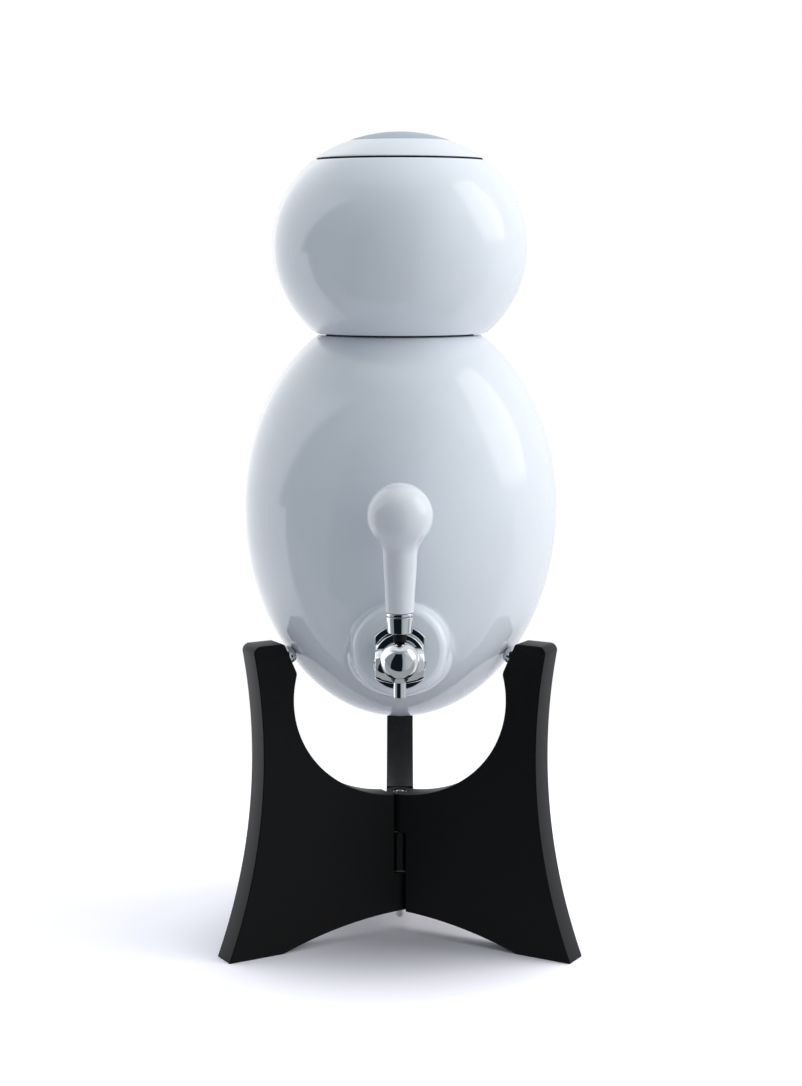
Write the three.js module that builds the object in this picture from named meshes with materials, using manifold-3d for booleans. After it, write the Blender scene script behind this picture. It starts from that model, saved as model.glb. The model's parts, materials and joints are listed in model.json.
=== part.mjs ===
// A worktop water dispenser: a glazed lower vessel with a lever tap, a smaller vessel with a filter
// standing on its mouth, a domed lid, and a black stand of three legs hinged on one upright pin.
// Millimetres, +Z up. The tap faces -Y, and the back leg points along +Y.
import * as THREE from "three";
import { mergeVertices } from "three/addons/utils/BufferGeometryUtils.js";
import Module from "manifold-3d";

const wasm = await Module();
wasm.setup();

// Fits that pieces share.
const seatGap = 0.3; // between faces that rest on each other
const runningGap = 0.3; // round a pin or a rod in its hole
const cutOverrun = 5; // how far a cutting tool runs past what it cuts

// Stand legs, in the plane of one board: reach is from the pin's axis, height from the worktop.
const legThickness = 23;
const legHeight = 262;
const footReach = 168.2;
const waistReach = 134.7;
const waistHeight = 172;
const shoulderRadius = 6;
const seatRun = 11.7; // outwards, from the low end of the sloping seat to its top
const seatDrop = 26; // from the top of a leg to the low end of its sloping seat
const cradleHalfWidth = 106.6;
const cradleHalfHeight = 91.6;
const cradleCentreDrop = 48.5; // below the top of the legs
const archRise = 19.8;
const archHalfSpan = 118;
const legTurnShares = { back: 1 / 4, left: 7 / 12, right: 11 / 12 }; // of a full turn from +X

// Hinge: three knuckles of one height on one pin, with a washer between each two.
const knuckleClearance = 0.9; // between a knuckle and the ends of the other two boards
const hingeWasherThickness = 0.8;
const hingeWasherRadius = 9.5;
const pinRadius = 2;
const pinHeadRadius = 6.2;
const pinHeadHeight = 3;
const pinSocketRadius = 2.9;
const pinSocketDepth = 1.8;
const capNutRadius = 3.2;
const capNutHeight = 9.5;
const capNutBoreDepth = 5.5;

// Bumpers on the sloping leg tops.
const bumperCupRadius = 7.5;
const bumperCupHeight = 7.2;
const bumperCupFloor = 2.5;
const bumperEdgeRound = 1.2;
const bumperTipRadius = 5.6;
const bumperTipDome = 1.3;
const bumperScrewRadius = 1.7;
const bumperScrewLength = 16;
const bumperScrewHeadRadius = 3.1;
const bumperScrewHeadHeight = 1;
const bumperStandoff = 9.5; // from the seat edge to the vessel

// Lower vessel: half-ellipses above and below its widest height, which hang between the bumpers.
const lowerRadius = 131;
const lowerHalfAbove = 168.5;
const lowerHalfBelow = 177;
const lowerMouthRise = 144.6; // from the widest height to the rim
const lowerMouthRadius = 57;
const lowerWall = 7;
const rimRound = 1.5;

// Upper vessel.
const upperRadius = 105.2;
const upperWidestRise = 70.9; // from its underside to its widest height
const upperHalfAbove = 95.3;
const upperHalfBelow = 97.6;
const upperHeight = 140.5; // from its underside to its rim
const upperMouthRadius = 63.5;
const upperWall = 6.5;
const upperFloor = 7;
const jointGap = 1.5; // between a rim and what stands on it, where the gasket sits
const spigotPlay = 1.2; // between a locating ring and the mouth that it drops into
const spigotDepth = 10;
const spigotWall = 5;
const gasketWidth = 4.1;
const gasketPlay = 0.4;

// Lid.
const lidRadius = 69.5;
const lidDomeRadius = 124;
const lidRise = 21.9; // from its underside to the top of the dome
const lidWall = 6;
const lidSpigotDepth = 8.5;
const inlayRadius = 41.4;
const inlayThickness = 2.5;

// Filter in the upper vessel.
const filterRadius = 46;
const filterHeight = 63.2;
const filterWall = 2.5;
const filterStemRadius = 6.5;
const filterStemBore = 4;
const filterStemDrop = 37;
const filterMediaHeight = 60;
const filterCapSkirt = 8;
const filterCapThickness = 3;
const filterCapHoleRadius = 2.6;
const filterCapHoleCount = 10;
const filterCapHolePitchRadius = 30;
const filterGasketRadius = 17;
const wingNutRadius = 10.5;
const wingNutHeight = 9;
const wingReach = 21;
const wingThickness = 3.2;
const wingHeight = 7;

// Tap seat on the lower vessel: a flat-faced boss round the tap's level axis.
const tapDrop = 97.9; // below the vessel's widest height
const bossSetback = 1; // of the seat face from the vessel's widest reach
const bossFaceRadius = 32.5;
const bossEdgeRound = 3;
const bossWaistRadius = 38;
const bossWaistSetback = 9;
const bossRootRadius = 47;
const bossRootSetback = 30;
const bossDepth = 56;
const bossWall = 8;
const bossPocketRadius = 26;

// Tap body, along the tap's axis.
const pivotStandoff = 38; // from the seat face to the lever's pivot
const ballRadius = 15.5;
const flangeRadius = 25.3;
const flangeHalfFlats = 19.4;
const flangeThickness = 11.3;
const flangeChamfer = 1;
const collarRadius = 18.6; // round shoulder between the gasket and the flange
const collarLength = 14;
const stepRadius = 19.3;
const stepRootRadius = 20.8; // where the step's cone meets the flange
const stepLength = 4.4;
const shankRadius = 8;
const shankLength = 24; // from the seat face into the vessel
const shankBore = 5;
const chamberRadius = 10.5;
const chamberBack = 12; // behind the pivot
const chamberFront = 8; // ahead of the pivot
const hubSetback = 8; // crosswise hub: its axis is behind the pivot
const hubDrop = 4.4; // and below it
const hubRadius = 15.6;
const hubCrownHalfLength = 5;
const hubShoulderRadius = 13.4;
const hubShoulderHalfLength = 15;
const hubEndRadius = 11.3;
const hubHalfLength = 19;
const hubCapRadius = 5.7; // low dome on each end of the hub
const hubCapRise = 1.4;
const leverSlotWidth = 7;
const tapGasketRadius = 19;
const tapGasketThickness = 2;
const lockNutFlats = 24;
const lockNutThickness = 8;
const innerGasketRadius = 12.5;
const spoutRadius = 4.85;
const spoutBore = 3.4;
const spoutDrop = 28.9; // from the pivot to the spout's mouth
const spoutTopDrop = 10.2;
const spoutCollarRadius = 5.6;
const spoutCollarDrop = 17;
const spoutCollarRootRadius = 8.2; // where its cone leaves the ball
const spoutCollarRootDrop = 13;
const pivotPinRadius = 1.5;
const pivotPinHalfLength = 13.4;

// Lever: heights are above the pivot.
const leverPull = 15; // degrees forwards from upright
const leverSealRadius = 5.2;
const ferruleFootHeight = 21.7;
const ferruleHeight = 12.8;
const ferruleFootRadius = 9.6;
const ferruleHeadRadius = 10.6;
const ferruleRingHeight = 2.5;
const handleFootRadius = 10.8;
const handleNeckRadius = 13.1;
const handleNeckHeight = 74;
const bulbRadius = 25.4;
const bulbHeight = 111.9;
const bulbLeaveAngle = 36; // below the bulb's widest height, where the neck's curve starts
const leverStemRadius = 2.5;
const leverStemHeight = 52;
const leverHeelRadius = 3;
const leverHeelDrop = 6;
const leverHubWidth = 7;

// Valve plunger.
const plungerPlateRadius = 7;
const plungerPlateThickness = 1.6;
const plungerRodRadius = 2;
const plungerHeadRadius = 6.5;
const plungerHeadThickness = 2;
const valveWasherRadius = 7;
const valveWasherThickness = 2;

// How finely round pieces are cut.
const vesselSegments = 36;
const vesselSteps = 8;
const tapSegments = 24;
const smallSegments = 16;
const arcSteps = 8;

// Sizes that follow from those above. Heights are from the worktop, and reach is from the upright
// axis outwards.
const seatLowHeight = legHeight - seatDrop;
const cradleCentreHeight = legHeight - cradleCentreDrop;
const seatLowShare = (seatLowHeight - cradleCentreHeight) / cradleHalfHeight;
const seatLowReach = cradleHalfWidth * Math.sqrt(1 - seatLowShare ** 2);
const seatTopReach = seatLowReach + seatRun;
const seatSlope = Math.atan2(seatRun, seatDrop);
const bumperReach = (seatTopReach + seatLowReach) / 2;
const bumperHeight = (legHeight + seatLowHeight) / 2;
const restReach = bumperReach - bumperStandoff * Math.cos(seatSlope);
const restHeight = bumperHeight + bumperStandoff * Math.sin(seatSlope);
const lowerWidestHeight = restHeight + lowerHalfBelow * Math.sqrt(1 - (restReach / lowerRadius) ** 2);
const lowerMouthHeight = lowerWidestHeight + lowerMouthRise;
const tapHeight = lowerWidestHeight - tapDrop;
const bossReach = lowerRadius - bossSetback;
const pivotReach = bossReach + pivotStandoff;
const shankEndReach = bossReach - shankLength;
const knuckleRadius = legThickness / 2;
const boardInnerReach = knuckleRadius + knuckleClearance;
const hingeTop = cradleCentreHeight - cradleHalfHeight;
const knuckleGap = hingeWasherThickness + 2 * seatGap;
const knuckleHeight = (hingeTop - archRise - 2 * knuckleGap) / 3;
const lowKnuckleTop = archRise + knuckleHeight;
const midKnuckleFoot = lowKnuckleTop + knuckleGap;
const midKnuckleTop = midKnuckleFoot + knuckleHeight;
const highKnuckleFoot = midKnuckleTop + knuckleGap;
const upperFootHeight = lowerMouthHeight + jointGap;
const upperWidestHeight = upperFootHeight + upperWidestRise;
const upperFloorHeight = upperFootHeight + upperFloor;
const upperRimHeight = upperFootHeight + upperHeight;
const lidFootHeight = upperRimHeight + jointGap;
const lidTop = lidFootHeight + lidRise;
const filterFootHeight = upperFloorHeight + jointGap + 2 * seatGap;
const collarBackReach = bossReach + tapGasketThickness + 2 * seatGap;
const flangeBackReach = collarBackReach + collarLength;
const flangeFrontReach = flangeBackReach + flangeThickness;
const stepFrontReach = flangeFrontReach + stepLength;
const bossBackReach = bossReach - bossWall;
const sealTopHeight = ferruleFootHeight - seatGap;
const ringFootHeight = ferruleFootHeight + ferruleHeight + seatGap;
const handleFootHeight = ringFootHeight + ferruleRingHeight + seatGap;

// The frame's origin is midway between the front of the bulb and the back foot.
const axisShift = (pivotReach + bulbRadius - footReach) / 2;

const radians = THREE.MathUtils.degToRad;

// Materials.
const porcelain = new THREE.MeshStandardMaterial({ color: 0xe4e8ee, roughness: 0.12, metalness: 0 });
const handleGlaze = new THREE.MeshStandardMaterial({ color: 0xeceff3, roughness: 0.2, metalness: 0 });
const blackWood = new THREE.MeshStandardMaterial({ color: 0x1b1b1d, roughness: 0.6, metalness: 0 });
const chrome = new THREE.MeshStandardMaterial({ color: 0xd9dde0, roughness: 0.06, metalness: 1 });
const steel = new THREE.MeshStandardMaterial({ color: 0xb8bcc0, roughness: 0.3, metalness: 1 });
const greySilicone = new THREE.MeshStandardMaterial({ color: 0xaab2be, roughness: 0.5, metalness: 0 });
const darkSilicone = new THREE.MeshStandardMaterial({ color: 0x17191c, roughness: 0.5, metalness: 0 });
const whitePlastic = new THREE.MeshStandardMaterial({ color: 0xe8eaec, roughness: 0.4, metalness: 0 });
const carbon = new THREE.MeshStandardMaterial({ color: 0x2a2a2a, roughness: 0.95, metalness: 0 });

// A geometry as a closed solid for joining and cutting.
function solidOf(geometry) {
  const bare = new THREE.BufferGeometry();
  bare.setAttribute("position", geometry.getAttribute("position"));
  bare.setIndex(geometry.index);
  const merged = mergeVertices(bare);
  return new wasm.Manifold(
    new wasm.Mesh({
      numProp: 3,
      vertProperties: merged.getAttribute("position").array,
      triVerts: new Uint32Array(merged.index.array),
    }),
  );
}

// A joined or cut solid as a geometry again.
function geometryOf(solid) {
  const mesh = solid.getMesh();
  const geometry = new THREE.BufferGeometry();
  geometry.setAttribute("position", new THREE.BufferAttribute(mesh.vertProperties, mesh.numProp));
  geometry.setIndex(new THREE.BufferAttribute(mesh.triVerts, 1));
  geometry.computeVertexNormals();
  return geometry;
}

// The first geometry with every tool taken away.
function cut(geometry, ...tools) {
  const left = tools.reduce((solid, tool) => solid.subtract(solidOf(tool)), solidOf(geometry));
  return geometryOf(left);
}

// Geometries joined into one.
function join(first, ...others) {
  const whole = others.reduce((solid, other) => solid.add(solidOf(other)), solidOf(first));
  return geometryOf(whole);
}

// A turned piece on the Z axis. The outline's [radius, height] points run outwards along its
// underside, up its outside and back in.
function turned(outline, segments) {
  const points = outline.map(([radius, height]) => new THREE.Vector2(radius, height));
  return new THREE.LatheGeometry(points, segments).rotateX(Math.PI / 2);
}

// The same on the tap's axis, with [radius, reach] points, where reach runs forwards.
function turnedForward(outline, segments) {
  const points = outline.map(([radius, reach]) => new THREE.Vector2(radius, reach));
  return new THREE.LatheGeometry(points, segments).rotateX(Math.PI).translate(0, 0, tapHeight);
}

// The outline of a plain ring or, with no inner radius, of a disc.
function ringOutline(inner, outer, low, high) {
  const foot = [inner, low];
  const outline = [foot, [outer, low], [outer, high], [inner, high]];
  return inner > 0 ? [...outline, foot] : outline;
}

// A box by its lowest and highest corners.
function boxBetween(low, high) {
  const size = high.map((value, i) => value - low[i]);
  const middle = high.map((value, i) => (value + low[i]) / 2);
  return new THREE.BoxGeometry(...size).translate(...middle);
}

function named(name, geometry, material) {
  const mesh = new THREE.Mesh(geometry, material);
  mesh.name = name;
  return mesh;
}

// Points on a vessel's oval from one height to another, as [radius, height].
function ovalPoints(oval, fromHeight, toHeight, steps) {
  const angleAt = (height) => {
    const above = height > oval.widestHeight;
    const share = (height - oval.widestHeight) / (above ? oval.halfAbove : oval.halfBelow);
    return Math.asin(THREE.MathUtils.clamp(share, -1, 1));
  };
  const start = angleAt(fromHeight);
  const end = angleAt(toHeight);
  return Array.from({ length: steps + 1 }, (_, i) => {
    const angle = start + ((end - start) * i) / steps;
    const half = angle > 0 ? oval.halfAbove : oval.halfBelow;
    const radius = Math.abs(angle) === Math.PI / 2 ? 0 : oval.radius * Math.cos(angle);
    return [radius, oval.widestHeight + half * Math.sin(angle)];
  });
}

// The height above the widest part at which an oval narrows to a radius.
function ovalHeightAt(oval, radius) {
  return oval.widestHeight + oval.halfAbove * Math.sqrt(1 - (radius / oval.radius) ** 2);
}

// The oval inside a wall of one thickness.
function shrunk(oval, wall) {
  return {
    radius: oval.radius - wall,
    widestHeight: oval.widestHeight,
    halfAbove: oval.halfAbove - wall,
    halfBelow: oval.halfBelow - wall,
  };
}

const lowerOval = {
  radius: lowerRadius,
  widestHeight: lowerWidestHeight,
  halfAbove: lowerHalfAbove,
  halfBelow: lowerHalfBelow,
};
const upperOval = {
  radius: upperRadius,
  widestHeight: upperWidestHeight,
  halfAbove: upperHalfAbove,
  halfBelow: upperHalfBelow,
};

// Stand.

// A leg's side view with X as reach and Y as height. It runs past the pin's axis to the far side
// of the knuckle, where the cradle and the arch are mirrored.
function legShape() {
  const waistSag = footReach - waistReach;
  const outerRadius = (waistHeight ** 2 + waistSag ** 2) / (2 * waistSag);
  const outerReachAt = (height) => {
    return waistReach + outerRadius - Math.sqrt(outerRadius ** 2 - (height - waistHeight) ** 2);
  };
  const archRadius = (archHalfSpan ** 2 + archRise ** 2) / (2 * archRise);
  const archHeightAt = (reach) => archRise - archRadius + Math.sqrt(archRadius ** 2 - reach ** 2);
  const shape = new THREE.Shape();
  shape.moveTo(footReach, 0);
  for (let i = 1; i <= vesselSteps; i += 1) {
    const height = ((legHeight - shoulderRadius) * i) / vesselSteps;
    shape.lineTo(outerReachAt(height), height);
  }
  const shoulderReach = outerReachAt(legHeight - shoulderRadius) - shoulderRadius;
  for (let i = 1; i <= arcSteps / 2; i += 1) {
    const angle = (Math.PI / 2) * (i / (arcSteps / 2));
    const height = legHeight - shoulderRadius + shoulderRadius * Math.sin(angle);
    shape.lineTo(shoulderReach + shoulderRadius * Math.cos(angle), height);
  }
  shape.lineTo(seatTopReach, legHeight);
  const cornerAngle = Math.asin(seatLowShare);
  const endAngle = -Math.PI / 2 - Math.asin(knuckleRadius / cradleHalfWidth);
  const cradleSteps = 2 * vesselSteps;
  for (let i = 0; i <= cradleSteps; i += 1) {
    const angle = cornerAngle + ((endAngle - cornerAngle) * i) / cradleSteps;
    const height = cradleCentreHeight + cradleHalfHeight * Math.sin(angle);
    shape.lineTo(cradleHalfWidth * Math.cos(angle), height);
  }
  for (let i = 0; i <= 2 * arcSteps; i += 1) {
    const reach = -knuckleRadius + ((archHalfSpan + knuckleRadius) * i) / (2 * arcSteps);
    shape.lineTo(reach, archHeightAt(reach));
  }
  return shape;
}

// Moves a piece made on the Z axis to a bumper's place in its leg: the middle of the sloping seat
// edge, square to it.
const bumperPlace = new THREE.Matrix4()
  .makeTranslation(bumperReach, 0, bumperHeight)
  .multiply(new THREE.Matrix4().makeRotationY(seatSlope - Math.PI / 2));

// One board with its knuckle between two heights.
function legGeometry(knuckleFoot, knuckleTop) {
  const board = new THREE.ExtrudeGeometry(legShape(), { depth: legThickness, bevelEnabled: false })
    .rotateX(Math.PI / 2)
    .translate(0, legThickness / 2, 0);
  const side = legThickness / 2 + cutOverrun;
  const past = -knuckleRadius - cutOverrun;
  const rounding = cut(
    boxBetween([past, -side, -cutOverrun], [0, side, legHeight]),
    turned(ringOutline(0, knuckleRadius, -2 * cutOverrun, legHeight + cutOverrun), tapSegments),
  );
  const tools = [rounding];
  if (knuckleTop < hingeTop) {
    tools.push(boxBetween([past, -side, knuckleTop], [boardInnerReach, side, legHeight]));
  }
  if (knuckleFoot > archRise) {
    tools.push(boxBetween([past, -side, -cutOverrun], [boardInnerReach, side, knuckleFoot]));
  }
  const pinHole = ringOutline(0, pinRadius + runningGap, 0, hingeTop + cutOverrun);
  tools.push(turned(pinHole, smallSegments));
  const headFoot = hingeTop - pinHeadHeight - 2 * seatGap;
  const headHole = ringOutline(0, pinHeadRadius + runningGap, headFoot, hingeTop + cutOverrun);
  tools.push(turned(headHole, smallSegments));
  const screwHoleDepth = bumperScrewLength + seatGap - bumperCupFloor;
  const screwHole = ringOutline(0, bumperScrewRadius + runningGap, -screwHoleDepth, cutOverrun);
  tools.push(turned(screwHole, smallSegments).applyMatrix4(bumperPlace));
  return cut(board, ...tools);
}

function bumperCup() {
  const boreRadius = bumperScrewRadius + runningGap;
  const headHoleRadius = bumperScrewHeadRadius + runningGap;
  const headHoleFoot = bumperCupFloor - bumperScrewHeadHeight - seatGap;
  const tipHoleRadius = bumperTipRadius + runningGap;
  const foot = [boreRadius, seatGap];
  const outline = [
    foot,
    [bumperCupRadius, seatGap],
    [bumperCupRadius, bumperCupHeight - bumperEdgeRound],
    [bumperCupRadius - bumperEdgeRound, bumperCupHeight],
    [tipHoleRadius, bumperCupHeight],
    [tipHoleRadius, bumperCupFloor],
    [headHoleRadius, bumperCupFloor],
    [headHoleRadius, headHoleFoot],
    [boreRadius, headHoleFoot],
    foot,
  ];
  return turned(outline, tapSegments);
}

function bumperTip() {
  const top = bumperStandoff - seatGap;
  const foot = bumperCupFloor + seatGap;
  const domeRadius = (bumperTipRadius ** 2 + bumperTipDome ** 2) / (2 * bumperTipDome);
  const outline = [[0, foot]];
  for (let i = 0; i <= arcSteps / 2; i += 1) {
    const radius = bumperTipRadius * (1 - i / (arcSteps / 2));
    outline.push([radius, top - domeRadius + Math.sqrt(domeRadius ** 2 - radius ** 2)]);
  }
  outline.splice(1, 0, [bumperTipRadius, foot]);
  return turned(outline, tapSegments);
}

function bumperScrew() {
  const headTop = bumperCupFloor - seatGap / 2;
  const headFoot = headTop - bumperScrewHeadHeight;
  const outline = [
    [0, headTop - bumperScrewLength],
    [bumperScrewRadius, headTop - bumperScrewLength + 2 * bumperScrewRadius],
    [bumperScrewRadius, headFoot],
    [bumperScrewHeadRadius, headFoot],
    [bumperScrewHeadRadius, headTop],
    [0, headTop],
  ];
  return turned(outline, smallSegments);
}

// One leg with its bumper, turned to its place round the pin.
function legGroup(side, knuckleFoot, knuckleTop) {
  const leg = new THREE.Group();
  leg.rotation.z = 2 * Math.PI * legTurnShares[side];
  leg.add(named("leg_" + side, legGeometry(knuckleFoot, knuckleTop), blackWood));
  const bumper = new THREE.Group();
  bumper.applyMatrix4(bumperPlace);
  bumper.add(named("bumper_cup_" + side, bumperCup(), chrome));
  bumper.add(named("bumper_tip_" + side, bumperTip(), greySilicone));
  bumper.add(named("bumper_screw_" + side, bumperScrew(), steel));
  leg.add(bumper);
  return leg;
}

function hingePin() {
  const top = hingeTop - seatGap;
  const headFoot = top - pinHeadHeight;
  const foot = archRise - seatGap - capNutBoreDepth + seatGap;
  const outline = [
    [0, foot],
    [pinRadius, foot],
    [pinRadius, headFoot],
    [pinHeadRadius, headFoot],
    [pinHeadRadius, top - pinHeadHeight / 4],
    [pinHeadRadius - pinHeadHeight / 4, top],
    [0, top],
  ];
  const socket = ringOutline(0, pinSocketRadius, top - pinSocketDepth, top + cutOverrun);
  const hexSides = 6;
  return cut(turned(outline, smallSegments), turned(socket, hexSides));
}

function hingeCapNut() {
  const top = archRise - seatGap;
  const boreRadius = pinRadius + runningGap;
  const outline = [];
  for (let i = 0; i <= arcSteps; i += 1) {
    const angle = (Math.PI / 2) * (i / arcSteps);
    const radius = i === 0 ? 0 : capNutRadius * Math.sin(angle);
    outline.push([radius, top - capNutHeight + capNutRadius * (1 - Math.cos(angle))]);
  }
  outline.push([capNutRadius, top], [boreRadius, top]);
  outline.push([boreRadius, top - capNutBoreDepth], [0, top - capNutBoreDepth]);
  return turned(outline, smallSegments);
}

function hingeWasher(foot) {
  const low = foot + seatGap;
  const outline = ringOutline(pinRadius + runningGap, hingeWasherRadius, low, low + hingeWasherThickness);
  return turned(outline, tapSegments);
}

// Vessels and lid.

function lowerVessel() {
  const inner = shrunk(lowerOval, lowerWall);
  const bottom = lowerWidestHeight - lowerHalfBelow;
  const innerTop = ovalHeightAt(inner, lowerMouthRadius);
  const outside = ovalPoints(lowerOval, bottom, lowerMouthHeight - rimRound, 2 * vesselSteps);
  const rimEdge = outside[outside.length - 1][0] - 2 * rimRound;
  const inside = ovalPoints(inner, bottom + lowerWall, innerTop, 2 * vesselSteps - 4).reverse();
  const outerBody = turned([...outside, [rimEdge, lowerMouthHeight], [0, lowerMouthHeight]], vesselSegments);
  const cavityTop = lowerMouthHeight + cutOverrun;
  const cavityOutline = [[0, cavityTop], [lowerMouthRadius, cavityTop], ...inside].reverse();
  const bossOutline = [
    [0, bossReach - bossDepth],
    [bossRootRadius, bossReach - bossDepth],
    [bossRootRadius, bossReach - bossRootSetback],
    [bossWaistRadius, bossReach - bossWaistSetback],
    [bossFaceRadius + bossEdgeRound, bossReach - bossEdgeRound],
    [bossFaceRadius, bossReach],
    [0, bossReach],
  ];
  const boss = turnedForward(bossOutline, tapSegments);
  const pocket = turnedForward(ringOutline(0, bossPocketRadius, lowerRadius / 2, bossBackReach), tapSegments);
  const shankHole = turnedForward(
    ringOutline(0, shankRadius + runningGap, lowerRadius / 2, bossReach + cutOverrun),
    smallSegments,
  );
  return cut(join(outerBody, boss), turned(cavityOutline, vesselSegments), pocket, shankHole);
}

function upperVessel() {
  const inner = shrunk(upperOval, upperWall);
  const outside = ovalPoints(upperOval, upperFootHeight + rimRound, upperRimHeight - rimRound, 2 * vesselSteps);
  const innerTop = ovalHeightAt(inner, upperMouthRadius);
  const inside = ovalPoints(inner, upperFloorHeight, innerTop, 2 * vesselSteps - 4).reverse();
  const stemHole = filterStemRadius + 2 * runningGap;
  const spigotOuter = lowerMouthRadius - spigotPlay;
  const spigotInner = spigotOuter - spigotWall;
  const footEdge = outside[0][0] - 2 * rimRound;
  const rimEdge = outside[outside.length - 1][0] - 2 * rimRound;
  const start = [stemHole, upperFootHeight];
  const outline = [
    start,
    [spigotInner, upperFootHeight],
    [spigotInner, upperFootHeight - spigotDepth],
    [spigotOuter, upperFootHeight - spigotDepth],
    [spigotOuter, upperFootHeight],
    [footEdge, upperFootHeight],
    ...outside,
    [rimEdge, upperRimHeight],
    [upperMouthRadius, upperRimHeight],
    ...inside,
    [stemHole, upperFloorHeight],
    start,
  ];
  return turned(outline, vesselSegments);
}

// The flat ring that seals a joint, just inside the edge of the mouth.
function jointGasket(mouthRadius, rimHeight) {
  const inner = mouthRadius + gasketPlay;
  const outline = ringOutline(inner, inner + gasketWidth, rimHeight + seatGap, rimHeight + jointGap - seatGap);
  return turned(outline, vesselSegments);
}

// Points on the lid's dome, or on a dome set inside it, from one radius to another.
function domePoints(setback, fromRadius, toRadius, steps) {
  const centreHeight = lidTop - lidDomeRadius;
  const radiusOfDome = lidDomeRadius - setback;
  return Array.from({ length: steps + 1 }, (_, i) => {
    const radius = fromRadius + ((toRadius - fromRadius) * i) / steps;
    return [radius, centreHeight + Math.sqrt(radiusOfDome ** 2 - radius ** 2)];
  });
}

function lid() {
  const spigotOuter = upperMouthRadius - spigotPlay;
  const spigotInner = spigotOuter - spigotWall;
  const recessRadius = inlayRadius + runningGap;
  const outline = [
    ...domePoints(lidWall, 0, spigotInner, arcSteps / 2),
    [spigotInner, lidFootHeight - lidSpigotDepth],
    [spigotOuter, lidFootHeight - lidSpigotDepth],
    [spigotOuter, lidFootHeight],
    [lidRadius, lidFootHeight],
    ...domePoints(0, lidRadius, recessRadius, arcSteps / 2),
    ...domePoints(inlayThickness + seatGap, recessRadius, 0, arcSteps / 2),
  ];
  return turned(outline, vesselSegments);
}

function lidInlay() {
  const under = domePoints(inlayThickness, 0, inlayRadius, arcSteps / 2);
  const over = domePoints(0, inlayRadius, 0, arcSteps / 2);
  return turned([...under, ...over], vesselSegments);
}

// Filter.

function filterHousing() {
  const inner = filterRadius - filterWall;
  const foot = [filterStemBore, filterFootHeight - filterStemDrop];
  const outline = [
    foot,
    [filterStemRadius, filterFootHeight - filterStemDrop],
    [filterStemRadius, filterFootHeight],
    [filterRadius, filterFootHeight],
    [filterRadius, filterFootHeight + filterHeight],
    [inner, filterFootHeight + filterHeight],
    [inner, filterFootHeight + filterWall],
    [filterStemBore, filterFootHeight + filterWall],
    foot,
  ];
  return turned(outline, tapSegments);
}

function filterMedia() {
  const low = filterFootHeight + filterWall + seatGap;
  const outline = ringOutline(0, filterRadius - filterWall - runningGap, low, low + filterMediaHeight);
  return turned(outline, tapSegments);
}

function filterCap() {
  const rest = filterFootHeight + filterHeight + seatGap;
  const top = rest + filterCapThickness;
  const skirtInner = filterRadius + runningGap;
  const skirtOuter = skirtInner + filterWall;
  const outline = [
    [0, rest],
    [skirtInner, rest],
    [skirtInner, rest - filterCapSkirt],
    [skirtOuter, rest - filterCapSkirt],
    [skirtOuter, top],
    [0, top],
  ];
  const holes = Array.from({ length: filterCapHoleCount }, (_, i) => {
    const angle = (2 * Math.PI * i) / filterCapHoleCount;
    const hole = turned(ringOutline(0, filterCapHoleRadius, rest - cutOverrun, top + cutOverrun), arcSteps);
    const pitch = filterCapHolePitchRadius;
    return hole.translate(pitch * Math.cos(angle), pitch * Math.sin(angle), 0);
  });
  return cut(turned(outline, tapSegments), ...holes);
}

function filterGasket() {
  const low = upperFloorHeight + seatGap;
  const inner = filterStemRadius + runningGap;
  return turned(ringOutline(inner, filterGasketRadius, low, low + jointGap), tapSegments);
}

function filterWingNut() {
  const top = upperFootHeight - seatGap;
  const low = top - wingNutHeight;
  const hub = turned(ringOutline(0, wingNutRadius, low, top), smallSegments);
  const halfWing = wingThickness / 2;
  const wings = boxBetween([-wingReach, -halfWing, low], [wingReach, halfWing, low + wingHeight]);
  const boreOutline = ringOutline(0, filterStemRadius + runningGap, low - cutOverrun, top + cutOverrun);
  return cut(join(hub, wings), turned(boreOutline, smallSegments));
}

// Tap.

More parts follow.
